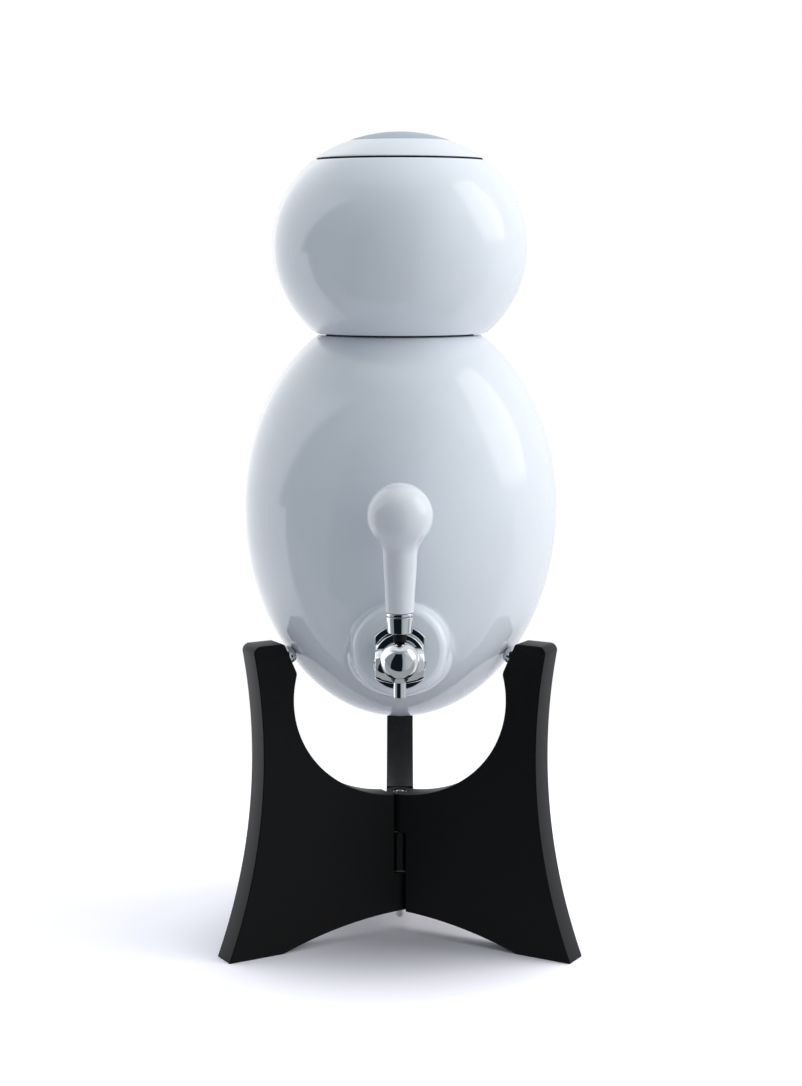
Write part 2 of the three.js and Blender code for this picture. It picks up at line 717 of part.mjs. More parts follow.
function tapBody() {
  const outline = [
    [0, shankEndReach],
    [shankRadius, shankEndReach],
    [shankRadius, collarBackReach],
    [collarRadius, collarBackReach],
    [collarRadius, flangeBackReach],
    [flangeRadius - flangeChamfer, flangeBackReach],
    [flangeRadius, flangeBackReach + flangeChamfer],
    [flangeRadius, flangeFrontReach - flangeChamfer],
    [flangeRadius - flangeChamfer, flangeFrontReach],
    [stepRootRadius, flangeFrontReach],
    [stepRadius, stepFrontReach],
  ];
  const backAngle = Math.acos((pivotReach - stepFrontReach) / ballRadius);
  const ballSteps = 2 * arcSteps;
  for (let i = 0; i <= ballSteps; i += 1) {
    const angle = Math.PI - backAngle - ((Math.PI - backAngle) * i) / ballSteps;
    const radius = i === ballSteps ? 0 : ballRadius * Math.sin(angle);
    outline.push([radius, pivotReach + ballRadius * Math.cos(angle)]);
  }
  const flats = [-1, 1].map((side) => {
    const near = side * flangeHalfFlats;
    const far = side * (flangeRadius + cutOverrun);
    const back = -stepFrontReach - cutOverrun;
    const low = [Math.min(near, far), back, tapHeight - flangeRadius - cutOverrun];
    const high = [Math.max(near, far), -flangeBackReach + cutOverrun, tapHeight + flangeRadius + cutOverrun];
    return boxBetween(low, high);
  });
  const bore = turnedForward(ringOutline(0, shankBore, shankEndReach - cutOverrun, pivotReach), smallSegments);
  const chamberOutline = ringOutline(0, chamberRadius, pivotReach - chamberBack, pivotReach + chamberFront);
  const chamber = turnedForward(chamberOutline, tapSegments);
  const spoutHole = turned(
    ringOutline(0, spoutRadius + runningGap, -ballRadius - spoutCollarDrop, -chamberRadius / 2),
    tapSegments,
  ).translate(0, -pivotReach, tapHeight);
  const pinHole = turned(
    ringOutline(0, pivotPinRadius + runningGap, -ballRadius, hubHalfLength + cutOverrun),
    smallSegments,
  )
    .rotateY(Math.PI / 2)
    .translate(0, -pivotReach, tapHeight);
  const collarOutline = [
    [0, -spoutCollarDrop],
    [spoutCollarRadius, -spoutCollarDrop],
    [spoutCollarRootRadius, -spoutCollarRootDrop],
    [0, -spoutCollarRootDrop],
  ];
  const collar = turned(collarOutline, tapSegments).translate(0, -pivotReach, tapHeight);
  const body = join(cut(turnedForward(outline, tapSegments), ...flats), collar, tapHub());
  return cut(body, bore, chamber, leverSlot(), spoutHole, pinHole);
}

// The crosswise hub behind the ball, tapered towards a low dome on each end.
function tapHub() {
  const domeRadius = (hubCapRadius ** 2 + hubCapRise ** 2) / (2 * hubCapRise);
  const domeCentre = hubHalfLength + hubCapRise - domeRadius;
  const domeSpan = Math.asin(hubCapRadius / domeRadius);
  const half = [
    [hubRadius, hubCrownHalfLength],
    [hubShoulderRadius, hubShoulderHalfLength],
    [hubEndRadius, hubHalfLength],
  ];
  for (let i = 0; i <= arcSteps; i += 1) {
    const angle = domeSpan * (1 - i / arcSteps);
    const radius = i === arcSteps ? 0 : domeRadius * Math.sin(angle);
    half.push([radius, domeCentre + domeRadius * Math.cos(angle)]);
  }
  const mirrored = half.map(([radius, along]) => [radius, -along]).reverse();
  return turned([...mirrored, ...half], tapSegments)
    .rotateY(Math.PI / 2)
    .translate(0, hubSetback - pivotReach, tapHeight - hubDrop);
}

// The slot in which the lever swings, from upright to its full pull, with room for the stem.
function leverSlot() {
  const reach = ballRadius + cutOverrun;
  const half = leverStemRadius + runningGap;
  const pull = radians(leverPull);
  const shape = new THREE.Shape();
  shape.moveTo(half, 0);
  shape.lineTo(half, reach);
  shape.lineTo(-reach * Math.sin(pull) - half * Math.cos(pull), reach * Math.cos(pull) - half * Math.sin(pull));
  shape.lineTo(-half * Math.cos(pull), -half * Math.sin(pull));
  const turnToSide = new THREE.Matrix4().makeBasis(
    new THREE.Vector3(0, 1, 0),
    new THREE.Vector3(0, 0, 1),
    new THREE.Vector3(1, 0, 0),
  );
  return new THREE.ExtrudeGeometry(shape, { depth: leverSlotWidth, bevelEnabled: false })
    .translate(0, 0, -leverSlotWidth / 2)
    .applyMatrix4(turnToSide)
    .translate(0, -pivotReach, tapHeight);
}

function tapOuterGasket() {
  const low = bossReach + seatGap;
  const inner = shankRadius + runningGap;
  return turnedForward(ringOutline(inner, tapGasketRadius, low, low + tapGasketThickness), tapSegments);
}

function tapInnerGasket() {
  const high = bossBackReach - seatGap;
  const inner = shankRadius + runningGap;
  return turnedForward(ringOutline(inner, innerGasketRadius, high - tapGasketThickness, high), tapSegments);
}

function tapLockNut() {
  const high = bossBackReach - tapGasketThickness - 2 * seatGap;
  const low = high - lockNutThickness;
  const hexSides = 6;
  const cornerRadius = lockNutFlats / Math.sqrt(3);
  const hexagon = turnedForward(ringOutline(0, cornerRadius, low, high), hexSides);
  const boreOutline = ringOutline(0, shankRadius + runningGap, low - cutOverrun, high + cutOverrun);
  return cut(hexagon, turnedForward(boreOutline, smallSegments));
}

function spoutTube() {
  const outline = ringOutline(spoutBore, spoutRadius, -spoutDrop, -spoutTopDrop);
  return turned(outline, smallSegments).translate(0, -pivotReach, tapHeight);
}

function leverPivotPin() {
  const outline = ringOutline(0, pivotPinRadius, -pivotPinHalfLength, pivotPinHalfLength);
  return turned(outline, smallSegments).rotateY(Math.PI / 2).translate(0, -pivotReach, tapHeight);
}

// Lever, made on the Z axis with the pivot at its origin.

function leverStem() {
  const stem = turned(ringOutline(0, leverStemRadius, 0, leverStemHeight), smallSegments);
  const hub = turned(ringOutline(0, leverHeelRadius, -leverHubWidth / 2, leverHubWidth / 2), smallSegments);
  const heel = hub.clone().rotateY(Math.PI / 2).translate(0, 0, -leverHeelDrop);
  const halfWidth = leverHubWidth / 2;
  const web = boxBetween([-halfWidth, -leverHeelRadius, -leverHeelDrop], [halfWidth, leverHeelRadius, 0]);
  const holeOutline = ringOutline(0, pivotPinRadius + runningGap, -leverHubWidth, leverHubWidth);
  const hole = turned(holeOutline, smallSegments).rotateY(Math.PI / 2);
  return cut(join(hub.rotateY(Math.PI / 2), heel, web, stem), hole);
}

// Its underside is a hollow sphere about the pivot, so it slides over the ball and covers the slot.
function leverSeal() {
  const boreRadius = leverStemRadius + runningGap;
  const hollowRadius = ballRadius + seatGap;
  const steps = arcSteps / 2;
  const under = Array.from({ length: steps + 1 }, (_, i) => {
    const radius = boreRadius + ((leverSealRadius - boreRadius) * i) / steps;
    return [radius, Math.sqrt(hollowRadius ** 2 - radius ** 2)];
  });
  const outline = [...under, [leverSealRadius, sealTopHeight], [boreRadius, sealTopHeight], under[0]];
  return turned(outline, tapSegments);
}

function leverFerrule() {
  const boreRadius = leverStemRadius + runningGap;
  const foot = [boreRadius, ferruleFootHeight];
  const outline = [
    foot,
    [ferruleFootRadius, ferruleFootHeight],
    [ferruleHeadRadius, ferruleFootHeight + ferruleHeight],
    [boreRadius, ferruleFootHeight + ferruleHeight],
    foot,
  ];
  return turned(outline, tapSegments);
}

function leverFerruleRing() {
  const inner = leverStemRadius + runningGap;
  const outline = ringOutline(inner, ferruleHeadRadius, ringFootHeight, ringFootHeight + ferruleRingHeight);
  return turned(outline, tapSegments);
}

// A tapering grip that swells through a curve into a round bulb.
function leverHandle() {
  const boreRadius = leverStemRadius + runningGap;
  const boreTop = leverStemHeight + seatGap;
  const leave = radians(bulbLeaveAngle);
  const bulbStart = new THREE.Vector2(
    bulbRadius * Math.cos(leave),
    bulbHeight - bulbRadius * Math.sin(leave),
  );
  const neck = new THREE.Vector2(handleNeckRadius, handleNeckHeight);
  const taper = (handleNeckRadius - handleFootRadius) / (handleNeckHeight - handleFootHeight);
  const pull = (bulbStart.y - neck.y) / 2;
  const curve = new THREE.CubicBezierCurve(
    neck,
    new THREE.Vector2(neck.x + taper * pull, neck.y + pull),
    new THREE.Vector2(bulbStart.x - Math.tan(leave) * pull, bulbStart.y - pull),
    bulbStart,
  );
  const outline = [
    [0, boreTop],
    [boreRadius, boreTop],
    [boreRadius, handleFootHeight],
    [handleFootRadius, handleFootHeight],
    ...curve.getPoints(arcSteps / 2).map((point) => [point.x, point.y]),
  ];
  for (let i = 1; i <= arcSteps; i += 1) {
    const angle = -leave + ((Math.PI / 2 + leave) * i) / arcSteps;
    const radius = i === arcSteps ? 0 : bulbRadius * Math.cos(angle);
    outline.push([radius, bulbHeight + bulbRadius * Math.sin(angle)]);
  }
  return turned(outline, tapSegments);
}

// Valve plunger: a rod through the shank, pushed back by the lever's heel.

const plateFrontReach = pivotReach - leverHeelRadius - seatGap;
const plateBackReach = plateFrontReach - plungerPlateThickness;
const washerBackReach = shankEndReach - seatGap - valveWasherThickness;

function plungerPlate() {
  return turnedForward(ringOutline(0, plungerPlateRadius, plateBackReach, plateFrontReach), smallSegments);
}

function plungerRod() {
  const headFront = washerBackReach - seatGap;
  const headBack = headFront - plungerHeadThickness;
  const outline = [
    [0, headBack],
    [plungerHeadRadius, headBack],
    [plungerHeadRadius, headFront],
    [plungerRodRadius, headFront],
    [plungerRodRadius, plateBackReach - seatGap],
    [0, plateBackReach - seatGap],
  ];
  return turnedForward(outline, smallSegments);
}

function valveWasher() {
  const inner = plungerRodRadius + runningGap;
  return turnedForward(ringOutline(inner, valveWasherRadius, washerBackReach, shankEndReach - seatGap), tapSegments);
}

// Assembly.

function stand() {
  const group = new THREE.Group();
  group.add(legGroup("back", midKnuckleFoot, midKnuckleTop));
  group.add(legGroup("left", archRise, lowKnuckleTop));
  group.add(legGroup("right", highKnuckleFoot, hingeTop));
  group.add(named("hinge_pin", hingePin(), steel));
  group.add(named("hinge_cap_nut", hingeCapNut(), steel));
  group.add(named("hinge_washer_lower", hingeWasher(lowKnuckleTop), whitePlastic));
  group.add(named("hinge_washer_upper", hingeWasher(midKnuckleTop), whitePlastic));
  return group;
}

function vessels() {
  const group = new THREE.Group();
  group.add(named("lower_vessel", lowerVessel(), porcelain));
  group.add(named("neck_gasket", jointGasket(lowerMouthRadius, lowerMouthHeight), darkSilicone));
  group.add(named("upper_vessel", upperVessel(), porcelain));
  group.add(named("lid_seal", jointGasket(upperMouthRadius, upperRimHeight), darkSilicone));
  group.add(named("lid", lid(), porcelain));
  group.add(named("lid_inlay", lidInlay(), greySilicone));
  return group;
}

function filter() {
  const group = new THREE.Group();
  group.add(named("filter_housing", filterHousing(), whitePlastic));
  group.add(named("filter_media", filterMedia(), carbon));
  group.add(named("filter_cap", filterCap(), whitePlastic));
  group.add(named("filter_gasket", filterGasket(), darkSilicone));
  group.add(named("filter_wing_nut", filterWingNut(), whitePlastic));
  return group;
}

function tap() {
  const group = new THREE.Group();
  group.add(named("tap_body", tapBody(), chrome));
  group.add(named("tap_outer_gasket", tapOuterGasket(), darkSilicone));
  group.add(named("tap_inner_gasket", tapInnerGasket(), darkSilicone));
  group.add(named("tap_lock_nut", tapLockNut(), chrome));
  group.add(named("spout_tube", spoutTube(), chrome));
  group.add(named("lever_pivot_pin", leverPivotPin(), steel));
  group.add(named("plunger_plate", plungerPlate(), steel));
  group.add(named("plunger_rod", plungerRod(), steel));
  group.add(named("valve_washer", valveWasher(), darkSilicone));
  const lever = new THREE.Group();
  lever.position.set(0, -pivotReach, tapHeight);
  lever.add(named("lever_stem", leverStem(), chrome));
  lever.add(named("lever_seal", leverSeal(), darkSilicone));
  lever.add(named("lever_ferrule", leverFerrule(), chrome));
  lever.add(named("lever_ferrule_ring", leverFerruleRing(), chrome));
  lever.add(named("lever_handle", leverHandle(), handleGlaze));
  group.add(lever);
  return group;
}

const dispenser = new THREE.Group();
dispenser.name = "water_dispenser";
dispenser.position.y = axisShift;
dispenser.add(stand(), vessels(), filter(), tap());

export default dispenser;
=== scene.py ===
import json
import math

import bmesh
import bpy
import numpy as np
from mathutils import Matrix, Vector


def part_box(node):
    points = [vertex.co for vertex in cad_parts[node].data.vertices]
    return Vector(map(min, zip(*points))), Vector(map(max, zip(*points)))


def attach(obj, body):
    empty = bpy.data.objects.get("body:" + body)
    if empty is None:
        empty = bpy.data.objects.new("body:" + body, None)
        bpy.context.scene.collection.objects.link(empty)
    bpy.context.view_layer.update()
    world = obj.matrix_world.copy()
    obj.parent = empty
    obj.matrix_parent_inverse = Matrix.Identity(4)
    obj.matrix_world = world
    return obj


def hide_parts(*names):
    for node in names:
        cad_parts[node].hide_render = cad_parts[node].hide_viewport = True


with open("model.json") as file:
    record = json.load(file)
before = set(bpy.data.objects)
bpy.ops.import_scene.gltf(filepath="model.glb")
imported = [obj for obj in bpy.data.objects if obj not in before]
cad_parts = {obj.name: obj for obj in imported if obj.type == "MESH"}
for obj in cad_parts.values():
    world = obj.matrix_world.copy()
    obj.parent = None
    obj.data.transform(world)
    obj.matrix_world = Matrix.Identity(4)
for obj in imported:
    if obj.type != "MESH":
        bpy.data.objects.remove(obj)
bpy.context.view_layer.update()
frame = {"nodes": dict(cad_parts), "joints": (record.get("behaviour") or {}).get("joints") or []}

# Camera, at the photograph's viewing angle: 1.76 m in front of the vessels, level with the upper one,
# and pitched down by 8 degrees. The picture is 802 by 1086 pixels.
picture_height = 1086
focal_pixels = 2130.44
camera_pitch = 0.14
camera_data = bpy.data.cameras.new("camera")
camera_data.sensor_width = 36
camera_data.lens = camera_data.sensor_width * focal_pixels / picture_height
camera = bpy.data.objects.new("camera", camera_data)
camera.location = (0.00098, -1.76365, 0.58622)
camera.rotation_euler = (math.pi / 2 - camera_pitch, 0, 0)
bpy.context.scene.collection.objects.link(camera)
bpy.context.scene.camera = camera
bpy.context.scene.view_settings.view_transform = "Standard"


# Studio walls: a white tent behind and above the object, brightest behind a slanted edge at its left, and a
# grey room in front, lighter at the right. The camera sees plain white. Reflections also see the dark gap
# between the panels where the camera stands, and the soft patch of the softbox at the right.
def linear(colour):
    """An sRGB hex colour as linear red, green and blue, with full alpha."""
    srgb = np.array([int(colour[i : i + 2], 16) for i in (1, 3, 5)]) / 255
    rgb = np.where(srgb <= 0.04045, srgb / 12.92, ((srgb + 0.055) / 1.055) ** 2.4)
    return (*rgb.tolist(), 1.0)


def add(tree, kind, inputs=None, **settings):
    """A new node of a kind, with its settings. An input takes a value, a socket or a node's first output."""
    new = tree.nodes.new("ShaderNode" + kind)
    for name, value in settings.items():
        setattr(new, name, value)
    for name, value in (inputs or {}).items():
        if isinstance(value, bpy.types.Node):
            value = value.outputs[0]
        if isinstance(value, bpy.types.NodeSocket):
            tree.links.new(value, new.inputs[name])
        else:
            new.inputs[name].default_value = value
    return new


def ramp(tree, value, start, end):
    """A smooth step of a value, from 0 at the start to 1 at the end. The end may be the lower of the two."""
    rising = end > start
    return add(tree, "MapRange", {"Value": value, "From Min": min(start, end), "From Max": max(start, end),
                                  "To Min": float(not rising), "To Max": float(rising)},
               interpolation_type="SMOOTHSTEP")


def product(tree, first, *others):
    """The product of two or more values."""
    for other in others:
        first = add(tree, "Math", {0: first, 1: other}, operation="MULTIPLY")
    return first


def heading(azimuth, elevation):
    """The unit direction at degrees of azimuth from the front towards +X, and of elevation."""
    turn, lift = math.radians(azimuth), math.radians(elevation)
    return Vector((math.cos(lift) * math.sin(turn), -math.cos(lift) * math.cos(turn), math.sin(lift)))


room_half_azimuth = math.radians(116)
room_top = math.radians(62)
room_power = 2.6
tent_start, tent_end = 0.8, 1.35
glow_edge = [heading(-97, 0), heading(-36, 54)]
glow_softness = 0.05
glow_sides = math.radians(179), math.radians(155)
glow_foot = math.radians(-7), math.radians(-5)
glow_top = math.radians(60), math.radians(32)
glow_right, glow_left, bounce_left = (0.88, 0.89, 0.91, 1.0), (1.55, 1.57, 1.6, 1.0), (0.8, 0.82, 0.85, 1.0)
gap_left, gap_right, gap_top = math.radians(-48), math.radians(17), math.radians(47)
gap_spread = 0.37
gap_softness = math.radians(2)
patch_corners = [heading(*corner) for corner in ((80, 54), (73, 28), (80, 5), (107, 4), (111, 14), (110, 47))]
patch_softness = 0.035
patch_light = (2.3, 2.3, 2.28, 1.0)
world = bpy.data.worlds.new("studio")
world.use_nodes = True
tree = world.node_tree
tree.nodes.clear()
toward_vector = add(tree, "TexCoord").outputs["Generated"]
toward = add(tree, "SeparateXYZ", {"Vector": toward_vector})
front = add(tree, "Math", {0: toward.outputs["Y"], 1: -1.0}, operation="MULTIPLY")
azimuth = add(tree, "Math", {0: toward.outputs["X"], 1: front}, operation="ARCTAN2")
elevation = add(tree, "Math", {0: toward.outputs["Z"]}, operation="ARCSINE")
aside = add(tree, "Math", {0: azimuth}, operation="ABSOLUTE")
side_share = add(tree, "Math", {0: aside, 1: room_half_azimuth}, operation="DIVIDE")
rise = add(tree, "Math", {0: elevation, 1: 0.0}, operation="MAXIMUM")
rise_share = add(tree, "Math", {0: rise, 1: room_top}, operation="DIVIDE")
side_power = add(tree, "Math", {0: side_share, 1: room_power}, operation="POWER")
rise_power = add(tree, "Math", {0: rise_share, 1: room_power}, operation="POWER")
room_reach = add(tree, "Math", {0: side_power, 1: rise_power}, operation="ADD")
tent = ramp(tree, room_reach, tent_start, tent_end)
room_tone = add(tree, "Mix", {0: ramp(tree, toward.outputs["X"], 0.1, 0.75), 6: linear("#90989E"),
                              7: linear("#C4CACE")}, data_type="RGBA")
walls = add(tree, "Mix", {0: tent, 6: room_tone.outputs[2], 7: linear("#F0F3F6")}, data_type="RGBA")


def side_of(first, second, inner):
    """How far a ray points to the inner side of the plane through two headings, as the sine of the angle."""
    normal = first.cross(second).normalized()
    normal *= math.copysign(1, normal.dot(inner))
    return add(tree, "VectorMath", {0: toward_vector, 1: normal}, operation="DOT_PRODUCT").outputs["Value"]


past_edge = side_of(*glow_edge, heading(-140, 10))
glow = product(tree, ramp(tree, past_edge, -glow_softness, glow_softness), ramp(tree, aside, *glow_sides),
               ramp(tree, elevation, *glow_foot), ramp(tree, elevation, *glow_top))
rays = add(tree, "LightPath")
left_tone = add(tree, "Mix", {0: rays.outputs["Is Glossy Ray"], 6: bounce_left, 7: glow_left},
                data_type="RGBA")
glow_tone = add(tree, "Mix", {0: ramp(tree, toward.outputs["X"], 0.4, -0.4), 6: glow_right,
                              7: left_tone.outputs[2]}, data_type="RGBA")
glowing = add(tree, "Mix", {0: glow, 6: walls.outputs[2], 7: glow_tone.outputs[2]}, data_type="RGBA")
leaning = add(tree, "Math", {0: elevation, 1: gap_spread}, operation="MULTIPLY")
from_left = add(tree, "Math", {0: azimuth, 1: leaning}, operation="SUBTRACT")
gap = product(tree, ramp(tree, from_left, gap_left - gap_softness, gap_left + gap_softness),
              ramp(tree, azimuth, gap_right + gap_softness, gap_right - gap_softness),
              ramp(tree, elevation, gap_top + gap_softness, gap_top - gap_softness),
              rays.outputs["Is Glossy Ray"])
room = add(tree, "Mix", {0: gap, 6: glowing.outputs[2], 7: linear("#121A21")}, data_type="RGBA")
patch = rays.outputs["Is Glossy Ray"]
for first, second in zip(patch_corners, patch_corners[1:] + patch_corners[:1]):
    inside = side_of(first, second, sum(patch_corners, Vector()))
    patch = product(tree, ramp(tree, inside, -patch_softness, patch_softness), patch)
patched = add(tree, "Mix", {0: patch, 6: room.outputs[2], 7: patch_light}, data_type="RGBA")
backdrop_rays = add(tree, "Math", {0: rays.outputs["Is Camera Ray"], 1: rays.outputs["Is Transmission Ray"]},
                    operation="MAXIMUM")
seen = add(tree, "Mix", {0: backdrop_rays, 6: patched.outputs[2], 7: linear("#FFFFFF")}, data_type="RGBA")
add(tree, "OutputWorld", {"Surface": add(tree, "Background", {"Color": seen.outputs[2], "Strength": 1.0})})
bpy.context.scene.world = world

# Softboxes: a tall one at the object's right, a fill beside it towards the front, and a wide one overhead.
# Reflections see the soft patch on the wall in their place.
target = Vector((0, 0, 0.42))
softboxes = {
    "key_softbox": dict(azimuth=90, elevation=27, distance=1.7, size=(1.15, 1.45), power=10.8,
                        colour="#FFFEFC"),
    "side_fill": dict(azimuth=62, elevation=20, distance=1.7, size=(1.0, 1.2), power=7.0,
                      colour="#FFFEFC"),
    "top_softbox": dict(azimuth=170, elevation=72, distance=1.8, size=(1.6, 1.2), power=6.5,
                        colour="#FDFEFF"),
}
for name, box in softboxes.items():
    lamp = bpy.data.lights.new(name, "AREA")
    lamp.shape = "RECTANGLE"
    lamp.size, lamp.size_y = box["size"]
    lamp.energy = box["power"]
    lamp.color = linear(box["colour"])[:3]
    away = heading(box["azimuth"], box["elevation"])
    holder = bpy.data.objects.new(name, lamp)
    holder.location = target + away * box["distance"]
    holder.rotation_euler = away.to_track_quat("Z", "Y").to_euler()
    holder.visible_glossy = False
    bpy.context.scene.collection.objects.link(holder)

# Floor: a pale matte table that keeps the shadow and fades to the white background. Near the object its colour
# is darkened for camera rays as a painted shadow, deeper than the real one. Reflections see a painted shade in
# front, a fixed grey glow, ending at its front edge, and as pale as the tent far behind and beside the object.
table_half_width = 8.0
table_front, table_edge = -0.335, 0.02
painted_shade_start = -0.08
bright_side = 0.3
camera_gain = 1.42
painted_shadow_start, painted_shadow_end, painted_shadow_depth = 0.02, 0.2, 0.44
fade_start, fade_end = 0.28, 0.8
floor_mesh = bpy.data.meshes.new("floor")
corners = [(x * table_half_width, y * table_half_width, 0) for x, y in ((-1, -1), (1, -1), (1, 1), (-1, 1))]
floor_mesh.from_pydata(corners, [], [(0, 1, 2, 3)])
floor = bpy.data.objects.new("floor", floor_mesh)
bpy.context.scene.collection.objects.link(floor)
matte_table = bpy.data.materials.new("matte_white_table")
matte_table.use_nodes = True
tree = matte_table.node_tree
tree.nodes.clear()
place = add(tree, "TexCoord").outputs["Object"]
rays = add(tree, "LightPath")
across, depth, _ = add(tree, "SeparateXYZ", {"Vector": place}).outputs
distance = add(tree, "VectorMath", {0: place}, operation="LENGTH").outputs["Value"]
mottle = add(tree, "TexNoise", {"Vector": place, "Scale": 9.0, "Detail": 3.0})
table_tone = add(tree, "Mix", {0: mottle, 6: linear("#F3F1F8"), 7: linear("#F6F4FA")}, data_type="RGBA")
# Painted shadow: camera rays see the floor's colour darkened round the object, by 44% within 2 cm of the middle,
# fading out by 20 cm.
painted_shadow_gain = add(tree, "MapRange", {"Value": ramp(tree, distance, painted_shadow_end, painted_shadow_start), "To Min": camera_gain,
                               "To Max": camera_gain * (1 - painted_shadow_depth)})
gain_with_painted_shadow = add(tree, "Mix", {0: rays.outputs["Is Camera Ray"], 2: 1.0, 3: painted_shadow_gain})
shown = add(tree, "VectorMath", {0: table_tone.outputs[2], "Scale": gain_with_painted_shadow}, operation="SCALE")
bounce = add(tree, "Mix", {0: rays.outputs["Is Diffuse Ray"], 6: shown, 7: linear("#CCCCD0")},
             data_type="RGBA")
lit = add(tree, "BsdfDiffuse", {"Color": bounce.outputs[2]})
beside = add(tree, "Mix", {0: ramp(tree, across, bright_side, -bright_side), 6: linear("#F0F3F6"),
                           7: (1.5, 1.52, 1.55, 1.0)}, data_type="RGBA")
fade_tone = add(tree, "Mix", {0: rays.outputs["Is Camera Ray"], 6: beside.outputs[2], 7: linear("#FFFFFF")},
                data_type="RGBA")
white = add(tree, "Emission", {"Color": fade_tone.outputs[2], "Strength": 1.0})
straight = add(tree, "Math", {0: rays.outputs["Is Camera Ray"], 1: rays.outputs["Is Glossy Ray"]},
               operation="MAXIMUM")
fade_seen = product(tree, ramp(tree, distance, fade_start, fade_end), straight)
near = add(tree, "MixShader", {0: fade_seen, 1: lit, 2: white})
# Painted shade: reflections see the table in front as a fixed mid-grey glow, standing in for its shade.
painted_front_shade = add(tree, "Emission", {"Color": linear("#A9ACAE"), "Strength": 1.0})
painted_shade_seen = product(tree, ramp(tree, depth, 0.0, painted_shade_start), rays.outputs["Is Glossy Ray"])
near = add(tree, "MixShader", {0: painted_shade_seen, 1: near, 2: painted_front_shade})
open_front = product(tree, ramp(tree, depth, table_front, table_front - table_edge),
                     rays.outputs["Is Glossy Ray"])
beyond = add(tree, "BsdfTransparent")
add(tree, "OutputMaterial", {"Surface": add(tree, "MixShader", {0: open_front, 1: near, 2: beyond})})
floor_mesh.materials.append(matte_table)


# Lower vessel: slip-cast porcelain under a clear glaze, with a boss for the tap that runs into the wall
# through a fillet. One closed shell: its rings start round the tap's hole, spread over the outside to the
# mouth, and come back through the inside. It stands freely on the three bumpers.
def profile(*runs, steps=7):
    """Joins runs of [radius, height] points into one line. A run is a point, a corner (radius, height,
    rounding) or an array of points. A corner is rounded over that distance along the line by a parabola."""
    rows = [np.column_stack([run, np.zeros(len(run))]) if isinstance(run, np.ndarray)
            else np.array([(*run, 0.0)[:3]]) for run in runs]
    line = np.vstack(rows)
    along = np.concatenate([[0], np.cumsum(np.hypot(*np.diff(line[:, :2], axis=0).T))])
    keep = np.ones(len(line), bool)
    keys, points = [along], [line[:, :2]]
    for corner in np.flatnonzero(line[:, 2]):
        reach = line[corner, 2]
        share = np.linspace(0, 1, steps)
        beside = along[corner] + reach * np.array([-1, 1, -1.3, 1.3])
        ends = np.column_stack([np.interp(beside, along, line[:, i]) for i in (0, 1)])
        weights = np.column_stack([(1 - share) ** 2, 2 * share * (1 - share), share**2])
        points += [weights @ np.array([ends[0], line[corner, :2], ends[1]]), ends[2:]]
        keys += [beside[0] + 2 * reach * share, beside[2:]]
        keep &= np.abs(along - along[corner]) > 1.3 * reach
    keys[0], points[0] = along[keep], line[keep, :2]
    return np.vstack(points)[np.argsort(np.concatenate(keys), kind="stable")]


def oval(radius, half_above, half_below, widest, heights):
    """[radius, height] points of an oval at the given heights: radius times sqrt(1 - (rise / half)²)."""
    rise = heights - widest
    half = np.where(rise > 0, half_above, half_below)
    return np.column_stack([radius * np.sqrt(np.maximum(0, 1 - (rise / half) ** 2)), heights])


def egg_distance(directions, rise, radius, half_above, half_below):
    """Distance to an egg's surface along unit directions, from a point on its axis at a rise above the
    widest height: the positive root t of (tx/r)² + (ty/r)² + ((rise + tz) / half)² = 1."""
    roots = []
    for half in (half_above, half_below):
        a = (directions[..., 0] ** 2 + directions[..., 1] ** 2) / radius**2 + (directions[..., 2] / half) ** 2
        b = rise * directions[..., 2] / half**2
        c = (rise / half) ** 2 - 1
        roots.append((np.sqrt(b * b - a * c) - b) / a)
    return np.where(rise + roots[1] * directions[..., 2] < 0, roots[1], roots[0])


def blended_max(first, second, reach):
    """The larger of two distances with a fillet where they meet: max + reach h³ / 6, where h falls from 1
    to 0 as the two part by the reach."""
    near = np.clip(1 - np.abs(first - second) / reach, 0, 1)
    return np.maximum(first, second) + reach * near**3 / 6


def grid_mesh(name, points, closed):
    """A mesh from a grid of rings by columns by xyz. Columns close round each ring. A closed grid also
    joins its last ring to its first; an open one shrinks its first and last ring to poles."""
    rings, columns = points.shape[:2]
    rings = rings if closed else rings - 2
    body = points if closed else points[1:-1]
    ring = np.arange(rings if closed else rings - 1)[:, None] * columns
    above = (ring + columns) % (rings * columns)
    column = np.arange(columns)[None, :]
    after = (column + 1) % columns
    quads = np.stack([ring + column, ring + after, above + after, above + column], axis=-1).reshape(-1, 4)
    vertices, faces = body.reshape(-1, 3), quads.tolist()
    if not closed:
        low, high, last = len(vertices), len(vertices) + 1, (rings - 1) * columns
        vertices = np.vstack([vertices, points[0].mean(0), points[-1].mean(0)])
        column, after = column[0], after[0]
        faces += np.column_stack([np.full(columns, low), after, column]).tolist()
        faces += np.column_stack([last + column, last + after, np.full(columns, high)]).tolist()
    mesh = bpy.data.meshes.new(name)
    mesh.from_pydata(vertices.tolist(), [], faces)
    mesh.update()
    return mesh


def add_piece(name, mesh, material, body, slot, *nodes):
    """Puts a mesh in the scene as a piece that rides on a body and stands for CAD nodes."""
    mesh.shade_smooth()
    mesh.set_sharp_from_angle(angle=math.radians(26))
    mesh.materials.clear()
    mesh.materials.append(material)
    piece = bpy.data.objects.new(name, mesh)
    bpy.context.scene.collection.objects.link(piece)
    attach(piece, body)
    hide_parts(*nodes)
    return piece


def start_material(name):
    """An empty node material, as the material and its tree."""
    material = bpy.data.materials.new(name)
    material.use_nodes = True
    material.node_tree.nodes.clear()
    return material, material.node_tree


